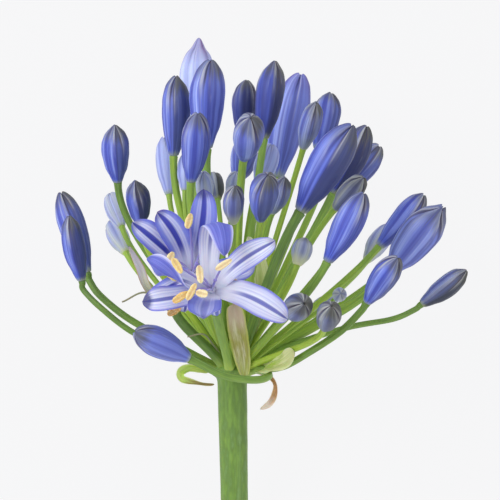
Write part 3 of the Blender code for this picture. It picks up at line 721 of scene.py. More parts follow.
# Open flowers: foot and throat of the tube. For each petal its width, how far its halves are
# folded up in degrees, what its inner face looks at, where it differs from petalForm, and the
# three spots that its middle line bends by. At its end it looks at "last", where that is given.
# For each stamen where its anther is, how that points, its length and how brown it is.
toViewer = (0, 0.25, 1)
flowers = {
    "flower_front": {
        "foot": (-5.6, 21, 43),
        "throat": (-7.3, 29.8, 58),
        "petals": {
            "left": (10.4, 20, toViewer, {"Blue": 0.2, "Cap": 0.1, "last": (0.25, 0.5, -0.83)},
                     (-16.5, 32.4, 66), (-23.5, 34.6, 73), (-29.6, 40, 67)),
            "lower_left": (9, 18, toViewer, {"Cap": 1.0, "Hood": 2.0, "Blue": 0.2},
                           (-18, 26.8, 66), (-26, 24.8, 71), (-31.5, 24.8, 66)),
            "lower": (11.6, 16, toViewer, {"Blue": 1.5, "Cap": 0.2, "Stripe": 0.5, "last": (0, 0.6, 0.8)},
                      (-9.4, 25.2, 70), (-10, 22.4, 77), (-10, 18.8, 80)),
            "lower_right": (10.2, 14, toViewer, {"Cap": 0.15, "Blue": 0.12},
                            (3, 29.6, 68), (11.5, 24, 72), (19.6, 18.4, 66)),
            "upper_right": (9, 16, toViewer, {"Blue": 0.15, "Cap": 0.15},
                            (0, 38.4, 67), (7.6, 41.8, 72), (15.2, 46, 66)),
            "upper": (9.6, 14, toViewer, {"Blue": 0.2, "Cap": 0.1, "last": (0, -0.75, -0.66)},
                      (-10, 52, 62), (-3.5, 60, 72), (-2.6, 40.5, 77)),
        },
        "anthers": (
            ((-19.1, 37.1, 75), (0.5, -0.8, 0.1), 5.8, 0.45),
            ((-11.2, 34, 78), (0.12, -1, 0.1), 6, 0.1),
            ((-17.9, 26.3, 76), (0.85, 0.55, 0.2), 6.4, 0.75),
            ((-14.1, 28.3, 78), (0.45, 0.85, 0.2), 6.4, 0.35),
            ((-10, 27.4, 81), (0.9, -0.2, 0.5), 4.4, 0.12),
            ((-2.9, 37.6, 76), (0.85, 0.55, 0.1), 6.4, 0.05),
        ),
    },
    "flower_back": {
        "foot": (-19.5, 24, 27),
        "throat": (-13.5, 35.5, 41),
        "petals": {
            "top": (9.6, 14, (0, -0.2, 1), {"Blue": 1.5, "Cap": 0.6},
                    (-11, 46, 48), (-9.2, 55, 51), (-9.8, 64, 47)),
            "upper_left": (9.8, 18, (0.1, -0.1, 1), {"Blue": 1.3},
                           (-17, 45, 50), (-21, 51.5, 55), (-26.2, 55.8, 52)),
            "left": (10, 20, (0.15, 0.3, 0.95), {"Blue": 1.0},
                     (-21.5, 42, 50), (-28.5, 48, 54), (-35, 52.5, 52)),
            "right": (8.8, 12, (0, 0.1, 1), {"Blue": 0.4}, (-4, 35.6, 49), (2, 35.6, 53), (8.2, 37.2, 53)),
            "lower_left": (7, 12, (0.3, 0.6, 0.75), {"Blue": 1.0},
                           (-20, 31, 48), (-25, 27.6, 51), (-29, 26, 48)),
            "lower": (7, 12, (0.3, 0.6, 0.75), {"Blue": 0.6},
                      (-15.2, 29, 47), (-15.8, 24, 49), (-16.6, 21, 46)),
        },
        "anthers": (
            ((-15, 53, 60), (0.25, 0.95, 0.2), 5.4, 0.4),
            ((-20, 21.5, 57), (0.8, 0.5, 0.1), 5.4, 1.0),
            ((-21.5, 40, 58), (0.4, 0.9, 0.1), 4.4, 0.3),
            ((-9.5, 46.5, 58), (-0.4, 0.9, 0.1), 4.4, 0.3),
            ((0.7, 31.4, 58), (0.9, 0.2, 0.3), 3, 0.5),
            ((-21, 33.5, 58), (0.7, -0.6, 0.1), 4.4, 0.5),
        ),
    },
}


def flowerAxis(name):
    throat = onPlant(flowers[name]["throat"])
    return (throat - onPlant(flowers[name]["foot"])).normalized()


petalForm = {
    "start": (-1.8, 1.4),  # along the tube's axis from the throat, and out from it
    "steps": 44,
    "around": 52,
    "rows": 64,
    # width along the length, as (share of the length, share of the width)
    "outline": (
        (0, 0.5), (0.2, 0.74), (0.42, 0.93), (0.62, 1), (0.8, 0.86), (0.93, 0.58), (0.98, 0.31), (1, 0.09),
    ),
    "Thickness": 0.6 * mm,
    "Hood": 1.0,
    "Midrib": 0.14 * mm,
    "Pleats": 0.06 * mm,
    "Wave": 0.5 * mm,
    "Waves": 2.2,
    "Ragged": 0.03,
    "Cap": 0.3,
    "Stripe": 1.0,
}


def bladeTree():
    # A thin leaf or petal along the guide line, which says where its side and its width are
    names = ("Thickness", "Fold", "Hood", "Midrib", "Pleats", "Wave", "Waves", "Ragged", "Seed")
    tree, given = growTree("blade", (*names, "Blue", "Cap", "Stripe"))
    shape, u, v = unitGrid(tree, petalForm["around"], petalForm["rows"])
    path = shapeNode(tree, "MeshToCurve", {"Mesh": given["Geometry"]})

    def sample(name, kind, out=0):
        inputs = {"Curves": path, "Value": readNamed(tree, name, kind), "Factor": v}
        return shapeNode(tree, "SampleCurve", inputs, out, data_type=kind)

    side = vectors("NORMALIZE", sample("side", "FLOAT_VECTOR"))
    place = sample("side", "FLOAT_VECTOR", 1)
    ahead = sample("side", "FLOAT_VECTOR", 2)
    normal = vectors("NORMALIZE", vectors("CROSS_PRODUCT", side, ahead))
    turn = u * fullTurn
    across = turn.cosine() * -1  # -1 at one edge, 1 at the other
    level = turn.sine()  # 1 on the inner face, -1 on the outer
    off = across.absolute()
    closed = (1 - (v * 2 - 1).absolute().power(24.0)).maximum(0.0).sqrt()
    seed = given["Seed"]
    tatters = noise(combine(v * 9, across.sign() * 3, seed), 1.0, 4.0, 0.7) - 0.5
    wide = sample("width", "FLOAT") * 0.5 * closed * (1 + tatters * given["Ragged"] * 2)
    fold = (given["Fold"] * (1 + ease(v, 0.84, 1) * given["Hood"])).minimum(1.4)
    valley = ((across * across + 0.06).sqrt() - 0.245) / 0.785  # 0 on the midrib, 1 at the edges
    trough = wide * fold.sine() * (valley - 0.5)
    midrib = given["Midrib"] * bump(across, 0, 0.13) * -1
    pleats = (across * 22).cosine() * given["Pleats"] * (1 - off)
    edgeWave = (v * given["Waves"] * fullTurn + seed * 2.3 + across).sine()
    wave = edgeWave * given["Wave"] * across * off * ease(v, 0.1, 0.4)
    lift = trough + midrib + pleats + wave + level * given["Thickness"] * 0.5 * closed
    sideways = scaled(side, wide * across * fold.cosine())
    position = vectors("ADD", vectors("ADD", place, sideways), scaled(normal, lift))
    shape = store(shape, along=v, across=off, inner=ease(level, -0.15, 0.15), seed=seed)
    shape = store(shape, blue=given["Blue"], cap=given["Cap"], stripe=given["Stripe"])
    grain = combine(across * 0.5, v * 0.35, seed * 1.9 + level.sign() * 0.2)
    shape = store(shape, "FLOAT_VECTOR", grain=grain)
    return endTree(tree, rolledUp(shape, position), given["Material"])


petalColours = {
    "white": "#eff1fc", "lilac": "#bcc2ee", "blueWash": "#7f89da", "stripe": "#4046ac", "margin": "#666fd2",
    "outside": "#7f86da", "outsideDeep": "#585fc0", "outsidePale": "#d0d3f4", "tip": "#3c3c80",
    "throat": "#f3f4fb",
}


def petalSkin():
    tones = petalColours
    material, tree = newSkin("petalSkin", soft=0.15, depth=0.001, gloss=0.3)
    names = ("along", "across", "inner", "blue", "cap")
    along, across, inner, blue, cap = (read(tree, name) for name in names)
    veins, broad = grained(tree, (34, 1.8, 1), 3.0, 0.6), grained(tree, (7, 3.5, 1))
    wander = across + (veins - 0.5) * 0.14 + (broad - 0.5) * 0.12
    body = ease(along, 0.15, 0.5)
    whole = 0.1 + ease(blue, 1.0, 2.0) * 0.7
    wash = (0.1 + blue * 0.9) * body * (whole + ease(wander, 0.42, 0.85) * (1 - whole))
    lines = bump(wander, 0.4, 0.06) * 0.4 + bump(wander, 0.62, 0.05) * 0.3
    half = 0.17 + blue.minimum(1.0) * 0.1
    stripe = (1 - ease(wander / half, 0.55, 1.1)) * ease(along, 0.15, 0.5) * read(tree, "stripe")
    face = mix(ease(veins, 0.35, 0.65) * 0.45 + broad * 0.15, tones["white"], tones["lilac"])
    face = painted(face, [
        (wash.minimum(1.0), tones["blueWash"]),
        (lines * body * (0.4 + broad), tones["margin"]),
        (ease(wander, 0.72, 0.97) * (0.3 + body * 0.6), tones["margin"]),
        ((1 - body) * 0.7, tones["throat"]),
        (stripe * (0.65 + veins * 0.3 + blue * 0.2).minimum(1.0), tones["stripe"]),
    ])
    back = mix(ease(veins * 1.2 + broad * 0.6, 0.6, 1.2), tones["outsideDeep"], tones["outside"])
    back = painted(back, [
        (ease(wander, 0.72, 1.0) * 0.9, tones["outsidePale"]),
        (bump(wander, 0, 0.16) * 0.6, tones["outsideDeep"]),
    ])
    capped = ease(along - across * 0.04 + (veins - 0.5) * 0.04 + cap * 0.06, 0.87, 0.97) * (cap + 0.2)
    tone = painted(mix(inner, back, face), [(capped.minimum(0.85), tones["tip"])])
    dress(tree, tone, 0.4 + veins * 0.2, veins, 0.00025, 0.5)
    return material


def makePetals(name, blades, skin):
    flower = flowers[name]
    throat, axis = onPlant(flower["throat"]), flowerAxis(name)
    along, out = petalForm["start"]
    made = []
    for number, (which, (width, fold, facing, looks, *spots)) in enumerate(flower["petals"].items()):
        spots = [onPlant(spot) for spot in spots]
        way = spots[0] - throat
        outward = (way - axis * way.dot(axis)).normalized()
        points = bezier(throat + (axis * along + outward * out) * mm, *spots, petalForm["steps"])
        widths = smoothProfile(petalForm["outline"], np.linspace(0, 1, len(points))) * width * mm
        seed = number + 7.0 * (name == "flower_back")
        values = inputsOf(petalForm) | {"Fold": radians(fold), "Seed": seed, "Material": skin} | looks
        guide = guideLines(which, [bladeLine(points, widths, facing, looks.get("last", facing))])
        made.append(grown(f"{name}_{which}", blades, values, guide))
    made.append(flowerTube(name, skin))
    ready(joined(name + "_petals", made), "petal", name)


tubeForm = {
    "outline": ((0, 1.7), (0.35, 2.3), (0.75, 3.1), (1, 3.4)),
    "rim": 0.86,  # where the cup ends, as a share of the way to the throat, hidden by the petals
    "floor": 0.8,  # where its inside ends
    "wall": 0.5,
    "steps": 30,
    "sides": 72,
    "ribs": 6,
    "ribDepth": 0.05,
    "along": 0.1,  # where on a petal its skin is taken from
}


def flowerTube(name, skin):
    # The petals' lower parts, grown into one cup: up its outer side and down its inner
    foot, throat = onPlant(flowers[name]["foot"]), onPlant(flowers[name]["throat"])
    axis = throat - foot
    side = axis.orthogonal().normalized()
    other = axis.normalized().cross(side)
    shares = np.linspace(0, tubeForm["rim"], tubeForm["steps"])
    outside = list(zip(shares, smoothProfile(tubeForm["outline"], shares)))
    path = [(share, radius, 0) for share, radius in outside]
    inside = [(share, radius - tubeForm["wall"], 1) for share, radius in reversed(outside)]
    path += [place for place in inside if place[0] > tubeForm["floor"]]
    sides, ribs = tubeForm["sides"], tubeForm["ribs"]
    rings = []
    for share, radius, inner in path:
        ring = []
        for turn in turnsOf(sides):
            ribbed = radius * (1 + tubeForm["ribDepth"] * cos(ribs * turn)) * mm
            spot = foot + axis * share + (side * cos(turn) + other * sin(turn)) * ribbed
            values = {"along": tubeForm["along"], "across": abs(sin(ribs / 2 * turn)), "inner": inner}
            ring.append((spot, values | {"grain": (cos(turn), share, sin(turn))}))
        rings.append(ring)
    last = (len(rings) - 1) * sides
    ends = [tuple(reversed(range(sides))), tuple(range(last, last + sides))]
    return ringed(name + "_tube", rings, ends, skin)


stamenForm = {
    "radius": 0.42,
    "start": 2,  # how far under the throat
    "steps": 24,
    "taper": (1.15, 0.7),
    "bow": 1.6,
    "antherWidth": 1.2,  # half of it, in millimetres
    "widthVaries": 0.14,
    "bend": 0.14,
    "bendVaries": 0.16,
    "around": 36,
    "along": 34,
    "grains": 110,
    "surface": 4.4,  # of a sac, over its length times half its width
    "styleTip": (1.5, 2.5, 13),
    "styleSteps": 20,
    "styleTaper": (1.2, 0.8),
    "styleEnd": (1.5, 0.9),
    "styleTone": 0.9,
    "Lumps": 0.6,
    "Grain Size": 0.1 * mm,
}
filamentForm = {"Sides": 16, "Ribs": 3.0, "Rib Depth": 0.06, "Wobble": 0.1, "Seed": 2.0}


def antherTree():
    # A pollen sac of two lobes, with grains that cling to it
    names = ("Length", "Width", "Bend", "Lumps", "Brown", "Grain Size", "Density")
    tree, given = growTree("anther", names, ("Seed",))
    shape, u, v = unitGrid(tree, stamenForm["around"], stamenForm["along"])
    turn = u * fullTurn
    taper = (1 - (v * 2 - 1).absolute().power(2.6)).maximum(0.0).sqrt()
    lobes = 1 - bump(turn.cosine(), 1, 0.25) * 0.4 - bump(turn.cosine(), -1, 0.2) * 0.35
    seeded = vectors("ADD", roundPlace(turn, v * 3.2), seeds(given["Seed"]))
    lumps = 1 + (noise(seeded, 1.5, 3.0) - 0.5) * given["Lumps"]
    wide = given["Width"] * taper * lobes * lumps * blend(v, 1.15, 0.85)
    off = (v - 0.5) * 2
    bend = off * off * given["Bend"] * given["Length"]
    flat = wide * turn.cosine() * 0.8 + bend
    position = combine(flat, wide * turn.sine(), (v - 0.5) * given["Length"])
    shape = store(shape, along=v, across=bump(turn.cosine(), 1, 0.2), brown=given["Brown"])
    sac = rolledUp(store(shape, "FLOAT_VECTOR", grain=roundPlace(turn, v * 3)), position)
    values = {"Mesh": sac, "Density": given["Density"], "Seed": given["Seed"]}
    spots = shapeNode(tree, "DistributePointsOnFaces", values)
    ball = shapeNode(tree, "MeshIcoSphere", {"Radius": given["Grain Size"], "Subdivisions": 1})
    size = addNode(tree, "FunctionNodeRandomValue", {"Min": 0.6, "Max": 1.3, "Seed": given["Seed"]})
    pollen = shapeNode(tree, "InstanceOnPoints", {"Points": spots, "Instance": ball, "Scale": size})
    both = shapeNode(tree, "JoinGeometry", [sac])
    tree.links.new(pollen.socket, both.socket.node.inputs[0])
    return endTree(tree, both, given["Material"])


def stamenSkin():
    material, tree = newSkin("stamenSkin", soft=0.2, depth=0.001, rough=0.45)
    streaks = grained(tree, (3, 3, 0.1))
    made = mix(ease(read(tree, "along"), 0.1, 0.8), "#dcd6f0", "#8d84cf")
    dress(tree, mix(streaks * 0.5, made, "#a89fe0"), None, streaks, 0.0001, 0.3)
    return material


def pollenSkin():
    material, tree = newSkin("pollenSkin", soft=0.15, depth=0.001, gloss=0.2)
    mottle, brown = grained(tree, (3, 3, 3), 4.0, 0.6), read(tree, "brown")
    made = painted(mix(ease(mottle, 0.3, 0.7), "#fff4d2", "#f4dc9c"), [
        (ease(brown, 0.1, 0.6) * ease(mottle, 0.15, 0.6) * 0.8, "#f3d06c"),
        (ease(brown, 0.5, 1.0) * ease(mottle, 0.3, 0.7), "#c9854c"),
        (read(tree, "across") * 0.55, "#c79d6c"),
    ])
    dress(tree, made, 0.6 + mottle * 0.25, mottle, 0.0002, 0.5)
    return material


def makeStamens(name, stems, sacs, skin, pollen):
    flower, form = flowers[name], stamenForm
    throat, axis = onPlant(flower["throat"]), flowerAxis(name)
    start = throat - axis * form["start"] * mm
    radius, half = form["radius"] * mm, form["antherWidth"] * mm
    lines, anthers = [], []
    for number, (spot, points, length, brown) in enumerate(flower["anthers"]):
        anther = onPlant(spot)
        way = anther - start
        aside = axis - way.normalized() * axis.dot(way.normalized())
        bow = aside * form["bow"] * mm
        line = bezier(start, start + way / 3 + bow, start + way * 2 / 3 + bow, anther, form["steps"])
        thick = np.linspace(*form["taper"], len(line)) * radius
        lines.append(stemLine(line, thick, tone=number / 6))
        values = inputsOf(form) | {
            "Length": length * mm,
            "Width": half * (1 + form["widthVaries"] * sin(number * 3.3)),
            "Bend": form["bend"] + form["bendVaries"] * sin(number * 2.1),
            "Brown": brown,
            "Density": form["grains"] / (length * mm * half * form["surface"]),
            "Seed": number + 10,
            "Material": pollen,
        }
        turned = Vector(points).to_track_quat("Z", "X").to_matrix().to_4x4()
        place = laid @ Matrix.Translation(anther) @ turned
        anthers.append(grown(f"{name}_anther_{number + 1}", sacs, values, place=place))
    tip = throat + Vector(form["styleTip"]) * mm
    line = bezier(start, start.lerp(tip, 0.4), start.lerp(tip, 0.7), tip, form["styleSteps"])
    thick = np.linspace(*form["styleTaper"], len(line)) * radius
    thick[-2:] = np.array(form["styleEnd"]) * radius
    lines.append(stemLine(line, thick, tone=form["styleTone"]))
    values = filamentForm | {"Material": skin}
    ready(grown(name + "_filaments", stems, values, guideLines("filaments", lines)), "petal")
    ready(joined(name + "_anthers", anthers), "petal")


# Stalks

# Ways that flower stalks take other than a plain curve: spots that they pass, from the dome out
detours = {
    10: ((-20, 9.5, 6), (-36, 18.5, 8), (-46, 26.5, 5)),
    11: ((-20, 7, 12), (-35, 14, 16), (-46, 22.5, 16)),
    12: ((9, 0.9, 4), (12.4, -0.2, 9), (12.6, -1.7, 17), (9, -2.7, 24), (2.5, -2.3, 30), (-4.5, -0.5, 35)),
    27: ((9, 0.8, 9.5), (18, 2, 18), (27.5, 7.2, 26.5), (38, 14.2, 33.5)),
    28: ((20, 9, 6), (40, 15.5, 10), (56, 18.5, 14)),
}
twigs = {
    "radius": 0.15,
    "radiusPerWidth": 0.115,
    "start": 0.4,  # where the curve's first handle is, as a share of the straight way
    "end": 0.25,
    "steps": 36,
    "stepsPerDetour": 9,
    "before": 0.3,  # its last spots, before and after the foot of what it carries
    "after": 0.35,
    "intoBud": 1.3,
    "endShare": 0.5,  # of the radius, at the very end
    # radius along a stalk, as (share of the way, share of the radius)
    "outline": ((0, 1.35), (0.08, 1.12), (0.25, 1), (0.85, 0.98), (0.94, 1.08), (1, 1.22)),
    "mottle": 0.25,
    "toneVaries": 0.3,
    "Sides": 28,
    "Ribs": 5.0,
    "Rib Depth": 0.05,
    "Wobble": 0.12,
    "Seed": 3.0,
}

# How dark the stalk of a bud or flower is: 0 bright yellow-green, 1 dark olive
twigTones = {
    10: 0.75, 11: 0.8, 12: 0.6, 27: 0.7, 28: 0.65, 19: 0.8, 6: 0.7, 23: 0.5, 14: 0.45, 20: 0.5, 3: 0.45,
    26: 0.35, 2: 0.2, 4: 0.3, "flower_back": 0.9, "flower_front": 0.5,
}


def stemTree():
    # Round stems along the guide lines, each as thick as its line says
    tree, given = growTree("stem", ("Ribs", "Rib Depth", "Wobble", "Seed"), ("Sides",))
    path = shapeNode(tree, "MeshToCurve", {"Mesh": given["Geometry"]})
    ring = shapeNode(tree, "CurvePrimitiveCircle", {"Resolution": given["Sides"], "Radius": 1.0})
    turn = shapeNode(tree, "SplineParameter") * fullTurn
    ring = store(ring, turnX=turn.cosine(), turnY=turn.sine())
    path = store(path, along=shapeNode(tree, "SplineParameter"))
    path = store(path, reach=shapeNode(tree, "SplineParameter", out=1))
    thick = readNamed(tree, "thick")
    values = {"Curve": path, "Profile Curve": ring, "Scale": thick, "Fill Caps": True}
    shape = shapeNode(tree, "CurveToMesh", values)
    turnX, turnY = readNamed(tree, "turnX"), readNamed(tree, "turnY")
    grain = combine(turnX, turnY, readNamed(tree, "reach") * 60 + readNamed(tree, "tone") * 40)
    shape = store(shape, "FLOAT_VECTOR", grain=grain)
    ribs = (turnY.arctan2(turnX) * given["Ribs"]).cosine() * given["Rib Depth"]
    place = vectors("ADD", scaled(shapeNode(tree, "InputPosition"), 160.0), seeds(given["Seed"]))
    lumps = (noise(place, 1.0) - 0.5) * given["Wobble"]
    out = scaled(shapeNode(tree, "InputNormal"), (ribs + lumps) * thick)
    shape = shapeNode(tree, "SetPosition", {"Geometry": shape, "Offset": out})
    return endTree(tree, shape, given["Material"])


stalkColours = {
    "bright": "#b2ce48", "green": "#86aa48", "olive": "#587638", "streak": "#8cae68", "shadow": "#567838",
    "base": "#cfe070",
}


def stalkSkin():
    tones = stalkColours
    material, tree = newSkin("stalkSkin", soft=0.1, depth=0.0015, gloss=0.3)
    along, tone, mottle = (read(tree, name) for name in ("along", "tone", "mottle"))
    streaks, blotches = grained(tree, (4, 4, 0.45), 3.0), grained(tree, (2.8, 2.8, 2.4), 3.0, 0.55)
    aged = tone + ease(along, 0.25, 0.95) * (0.22 - mottle * 0.18) + (blotches - 0.5) * 0.9
    made = painted(mix(ease(aged, 0.0, 0.6), tones["bright"], tones["green"]), [
        (ease(aged, 0.5, 1.15), tones["olive"]),
        (ease(streaks, 0.48, 0.75) * 0.35, tones["streak"]),
        ((1 - ease(streaks, 0.25, 0.5)) * 0.3, tones["shadow"]),
        (ease(blotches, 0.52, 0.72) * mottle * 0.5, tones["streak"]),
        ((1 - ease(along, 0.0, 0.25)) * (1 - tone * 0.6) * (1 - mottle) * 0.7, tones["base"]),
    ])
    dress(tree, made, 0.38 + streaks * 0.2, streaks + blotches * 0.3, 0.0003, 0.4)
    return material


def stalkLine(name, foot, axis, radius):
    # The way of one flower stalk, from inside the dome to inside what it carries
    last = foot - axis * twigs["before"] * mm
    passed = [onPlant(spot) for spot in detours.get(name, ())]
    out = (passed[0] if passed else last).normalized()
    size = Vector((mainStalk["domeRadius"], mainStalk["domeHeight"], mainStalk["domeRadius"])) * mm
    root = Vector(a * b for a, b in zip(out, size)) * mainStalk["rootDepth"]
    if passed:
        before = last - axis * (last - passed[-1]).length * twigs["end"]
        points = smoothLine([root, *passed, before, last], twigs["stepsPerDetour"])
    else:
        way = last - root
        handles = root + way * twigs["start"], last - axis * way.length * twigs["end"]
        points = bezier(root, *handles, last, twigs["steps"])
    points += [foot + axis * twigs["after"] * mm, foot + axis * twigs["intoBud"] * mm]
    thick = smoothProfile(twigs["outline"], np.linspace(0, 1, len(points))) * radius
    thick[-1] = radius * twigs["endShare"]
    tone = twigTones.get(name, twigs["toneVaries"] * abs(sin(foot.x / mm)))
    return stemLine(points, thick, tone=tone, mottle=twigs["mottle"])


def makeStalks(stems, feet, skin, cut):
    lines = []
    for number, (foot, axis, width) in feet.items():
        radius = (twigs["radius"] + twigs["radiusPerWidth"] * width) * mm
        lines.append(stalkLine(number, foot, axis, radius))
    for name, flower in flowers.items():
        radius = tubeForm["outline"][0][1] * mm
        lines.append(stalkLine(name, onPlant(flower["foot"]), flowerAxis(name), radius))
    ways = guideLines("ways", lines)
    ready(grown("flower_stalks", stems, inputsOf(twigs) | {"Material": skin}, ways), "stalk")

    low, top = mainStalk["domeFrom"], mainStalk["domeTop"]
    stem = np.arange(-mainStalk["length"], low, mainStalk["step"])
    levels = [*stem, *np.arange(low, top, mainStalk["domeStep"]), top]
    thick = smoothProfile(mainStalk["outline"], levels) * mm
    strayed = -mainStalk["drift"] / mainStalk["length"]
    points = [Vector((strayed * min(level, 0), level, 0)) * mm for level in levels]
    way = guideLines("stalkWay", [stemLine(points, thick, tone=mainStalk["tone"], mottle=1.0)])
    stalk = grown("main_stalk", stems, inputsOf(mainStalk) | {"Material": skin}, way)
    pressFlat(stalk)
    ready(stalk, "stalk", "stalks")
    makeCutEnd(mainStalk["outline"][0][1] * mm, cut)
    print("stalks:", len(lines) + 1)


cutEnd = {"rings": 14, "sides": 72, "dent": 0.25, "uneven": 0.3, "over": 0.06, "middle": 0.2}


def cutSkin():
    # The cut end: a green rim, pale pith and the dots of its bundles
    material, tree = newSkin("cutSkin", soft=0.2, depth=0.002, gloss=0.45)
    place = addNode(tree, "ShaderNodeTexCoord", out=3)
    across = read(tree, "across")
    pores = 1 - ease(addNode(tree, "ShaderNodeTexVoronoi", {"Vector": place, "Scale": 1500.0}), 0.12, 0.4)
    mottle = noise(place, 500.0, 3.0)
    made = painted(mix(mottle, "#cfdca0", "#b5c97c"), [
        (pores * ease(across, 0.2, 0.6) * 0.6, "#7f9a4c"),
        (ease(across, 0.84, 0.97), "#5f8038"),
    ])
    dress(tree, made, 0.35 + mottle * 0.3, mottle - pores * 0.5, 0.0003, 0.6)
    return material


def makeCutEnd(radius, skin):
    # The face where the main stalk was cut, a little hollow and uneven
    centre = Vector((mainStalk["drift"], -mainStalk["length"], 0)) * mm
    count, sides = cutEnd["rings"], cutEnd["sides"]
    rings = []
    for i in range(1, count + 1):
        share = i / count
        ring = []
        for turn in reversed(turnsOf(sides)):
            uneven = 1 + cutEnd["uneven"] * sin(3 * turn + 5 * share)
            dent = (cutEnd["dent"] * (1 - share**4) * uneven - cutEnd["over"]) * mm
            spot = centre + Vector((cos(turn) * radius * share, dent, sin(turn) * radius * share))
            ring.append((spot, {"across": share}))
        rings.append(ring)
    rings.append([(centre + Vector((0, cutEnd["middle"], 0)) * mm, {"across": 0})])
    fan = [(count * sides, (j + 1) % sides, j) for j in range(sides)]
    piece = ringed("cut_end", rings, fan, skin)
    pressFlat(piece)
    ready(piece, "stalk")


# Sheath

# Sheath pieces: skin, what they face, and spots of the middle line with the width there
sheaths = {
    "bract_strap": (
        "straw", (0, -0.5, 1),
        (4.4, -1.5, 9.4, 3.4), (3.8, 4, 12.5, 5.6), (2.6, 11, 20, 6.8), (1.5, 18, 27, 6.8),
        (0.6, 24, 31, 5.2),
    ),
    "bract_left": (
        "leaf", (0, -0.3, 1),
        (-8.1, 0.2, 3, 2), (-11.5, 1, 4, 2.6), (-15, 1.4, 4.6, 3.1), (-17.8, 0.2, 5, 3.1),
        (-17.6, -2, 5.2, 2.8), (-15, -3.2, 5.5, 2.3), (-11, -4, 6, 1.5), (-6.2, -4.4, 6.8, 0.8),
    ),
    "bract_right": (
        "tan", (0.4, 0.3, 1),
        (8.2, 0, -2, 1.3), (12.4, -1.2, -1.5, 1.5), (15, -4.6, 0, 1.8), (14.8, -8, 1, 2.2),
        (12.8, -11.3, 2, 2.4), (9.8, -13, 1, 1),
    ),
    "fold": (
        "lime", (-0.1, 0.5, 1),
        (7.5, 0.6, 5, 3), (12.5, 1.8, 16, 5.5), (17.5, 3.6, 24, 7), (22, 7.2, 28, 4.5),
    ),
    "inner": (
        "thin", (0, -0.3, 1),
        (4, 4, 4, 2), (7, 14, 10, 3.4), (9.6, 24, 15, 5), (10.6, 32, 18, 5.6), (9, 40, 19, 5),
        (5.5, 47.5, 19, 2.4),
    ),
    "outer": (
        "faded", (0, 0, 1),
        (-4, 4, 1, 1.2), (-17, 17.5, 9, 1.6), (-28.7, 28.4, 16, 2.8), (-32.2, 36.4, 18, 3.2),
        (-36.2, 44.3, 17, 1),
    ),
}
sheathForm = {
    "steps": 12,
    "Thickness": 0.4 * mm,
    "Fold": radians(16),
    "Hood": 0.0,
    "Pleats": 0.09 * mm,
    "Wave": 0.5 * mm,
    "Waves": 2.6,
    "Ragged": 0.14,
}

# light and dark of a skin, its stripes and how strong they are, its edges, its far end and from where
sheathTones = {
    "straw": ("#e2deba", "#b4b262", "#806a3e", 0.7, "#c6cf66", "#d3bca8", 0.6),
    "leaf": ("#c8e07c", "#acd052", "#8fa653", 0.4, "#dfe9b0", "#8a6248", 0.5),
    "tan": ("#d9ab7c", "#bd8c5e", "#94683f", 0.5, "#eed9ba", "#eee2d2", 0.6),
    "dry": ("#a8b088", "#8c9670", "#6c6c50", 0.5, "#b8bb9a", "#a09a7c", 0.7),
    "lime": ("#e8ebb0", "#b9d45c", "#7d9c40", 0.5, "#eceebe", "#dcdfa4", 0.7),
    "thin": ("#d6e09e", "#bccd78", "#a9a868", 0.4, "#dfe6b8", "#cdc8b4", 0.75),
    "faded": ("#d8d9b6", "#bfcb8e", "#9a8a62", 0.5, "#b58a62", "#bab4c6", 0.6),
}
sheathFoot = "#a9c04c"

# Threads: radius at the root, and the spots that they pass
threads = (
    (0.5, (-5, 3, 3), (-17, 16, 12), (-29, 27.5, 17), (-38.5, 24.5, 19)),
    (0.45, (-2.5, 3.5, 4), (-6.5, 9.5, 11), (-10, 13.2, 18), (-15.6, 12.3, 21)),
)
threadForm = {"tone": 0.4, "Sides": 10, "Ribs": 2.0, "Rib Depth": 0.15, "Wobble": 0.4, "Seed": 5.0}


def sheathSkin(name):
    # Dry papery skin with stripes along it
    light, dark, stripe, amount, edge, end, endFrom = sheathTones[name]
    material, tree = newSkin(name + "Skin", soft=0.1, depth=0.001, gloss=0.15)
    along, across = read(tree, "along"), read(tree, "across")
    fibres, patches = grained(tree, (26, 1.1, 1), 4.0, 0.65), grained(tree, (4, 9, 1), 3.0)
    made = painted(mix(ease(patches, 0.35, 0.65), light, dark), [
        ((1 - ease(along, 0, 0.4)) * 0.5, sheathFoot),
        (ease(fibres, 0.45, 0.7) * amount, stripe),
        (ease(along + (patches - 0.5) * 0.5, endFrom, endFrom + 0.25) * (0.45 + fibres * 0.7), end),
        (ease(across + (fibres - 0.5) * 0.2, 0.7, 0.95) * 0.7, edge),
    ])
    dress(tree, made, 0.6 + fibres * 0.3, fibres, 0.0004, 0.6)
    return material


def makeSheaths(blades, stems, skins):
    for number, (name, (skin, facing, *places)) in enumerate(sheaths.items()):
        points = smoothLine([onPlant(place[:3]) for place in places], sheathForm["steps"])
        profile = [(i / (len(places) - 1), place[3]) for i, place in enumerate(places)]
        widths = smoothProfile(profile, np.linspace(0, 1, len(points))) * mm
        values = inputsOf(sheathForm) | {"Seed": number + 20.0, "Material": skins[skin]}
        guide = guideLines(name, [bladeLine(points, widths, facing, facing)])
        piece = grown(name + "_skin", blades, values, guide)
        ready(piece, "sheath", *([name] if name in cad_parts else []))
    lines = []
    for radius, *spots in threads:
        points = smoothLine([onPlant(spot) for spot in spots], sheathForm["steps"])
        thick = np.linspace(1, 0.5, len(points)) * radius * mm
        lines.append(stemLine(points, thick, tone=threadForm["tone"], mottle=1.0))
    values = inputsOf(threadForm) | {"Material": skins["dry"]}
    ready(grown("dry_threads", stems, values, guideLines("threads", lines)), "sheath")
    print("sheath pieces:", len(sheaths), "and threads:", len(threads))


# Room and camera

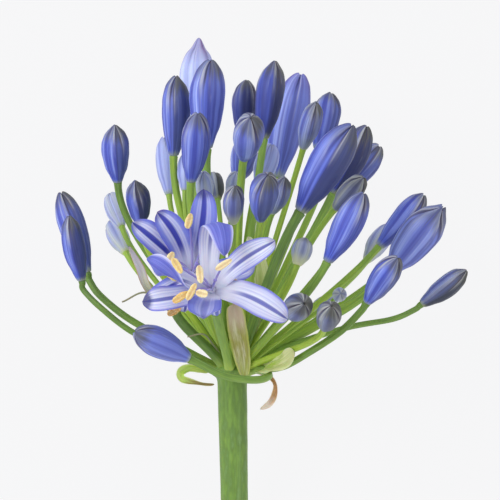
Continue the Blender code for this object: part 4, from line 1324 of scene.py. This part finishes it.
studio = {
    "floorTone": "#f6f6f7",
    "floorSize": 12.0,
    "floorDrop": 0.0002,
    "worldTone": "#f4f5f8",
    "world": 0.8,
    "floorGrey": 0.03,  # how much of the light that falls on the floor it gives back
    "glow": 0.965,  # light that the pale floor itself gives off
    # place before the head as (right, up, near) in millimetres, size in metres, power in watts
    "key": ((-900, 500, 900), 0.7, 9.0),
    "fill": ((900, 300, 900), 1.2, 2.0),
    "aim": (0, 50, 0),
}


def makeRoom():
    scene = bpy.context.scene
    scene.view_settings.view_transform = "Standard"
    world = bpy.data.worlds.new("paleRoom")
    world.use_nodes = True
    sky = world.node_tree.nodes["Background"]
    sky.inputs["Color"].default_value = colour(studio["worldTone"])
    sky.inputs["Strength"].default_value = studio["world"]
    scene.world = world
    half = studio["floorSize"] / 2
    corners = [(x * half, y * half, 0) for x, y in ((-1, -1), (1, -1), (1, 1), (-1, 1))]
    mesh = bpy.data.meshes.new("floor")
    mesh.from_pydata(corners, [], [(0, 1, 2, 3)])
    grey = (*[studio["floorGrey"]] * 3, 1)
    glow = {"glowTone": colour(studio["floorTone"]), "glow": studio["glow"]}
    material, _ = newSkin("paleFloor", rough=0.9, gloss=0.1, base=grey, **glow)
    mesh.materials.append(material)
    floor = newPiece("floor", mesh)
    floor.location.z = -studio["floorDrop"]
    aim = laid @ (Vector(studio["aim"]) * mm)
    for name in ("key", "fill"):
        spot, size, power = studio[name]
        lamp = bpy.data.lights.new(name, "AREA")
        lamp.size, lamp.energy = size, power
        holder = newPiece(name, lamp)
        holder.location = laid @ (Vector(spot) * mm)
        holder.rotation_mode = "QUATERNION"
        holder.rotation_quaternion = (aim - holder.location).to_track_quat("-Z", "Y")


def makeCamera():
    eye = bpy.data.cameras.new("viewer")
    eye.sensor_width = 36
    eye.lens = eye.sensor_width * viewer["distance"] / viewer["photoWidth"]
    eye.clip_start, eye.clip_end = 0.05, 50
    camera = newPiece("viewer", eye)
    spot = Vector((viewer["right"], viewer["up"], viewer["distance"])) * mm
    camera.matrix_world = laid @ Matrix.Translation(spot)
    bpy.context.scene.camera = camera


def main():
    makeCamera()
    makeRoom()
    skins = {name: sheathSkin(name) for name in sheathTones}
    stalk, stamen, pollen, petal = stalkSkin(), stamenSkin(), pollenSkin(), petalSkin()
    stems, blades, sacs = stemTree(), bladeTree(), antherTree()
    feet = makeBuds(budTree(), budSkin())
    makeStalks(stems, feet, stalk, cutSkin())
    for name in flowers:
        makePetals(name, blades, petal)
        makeStamens(name, stems, sacs, stamen, pollen)
    print("flowers:", len(flowers))
    makeSheaths(blades, stems, skins)


main()
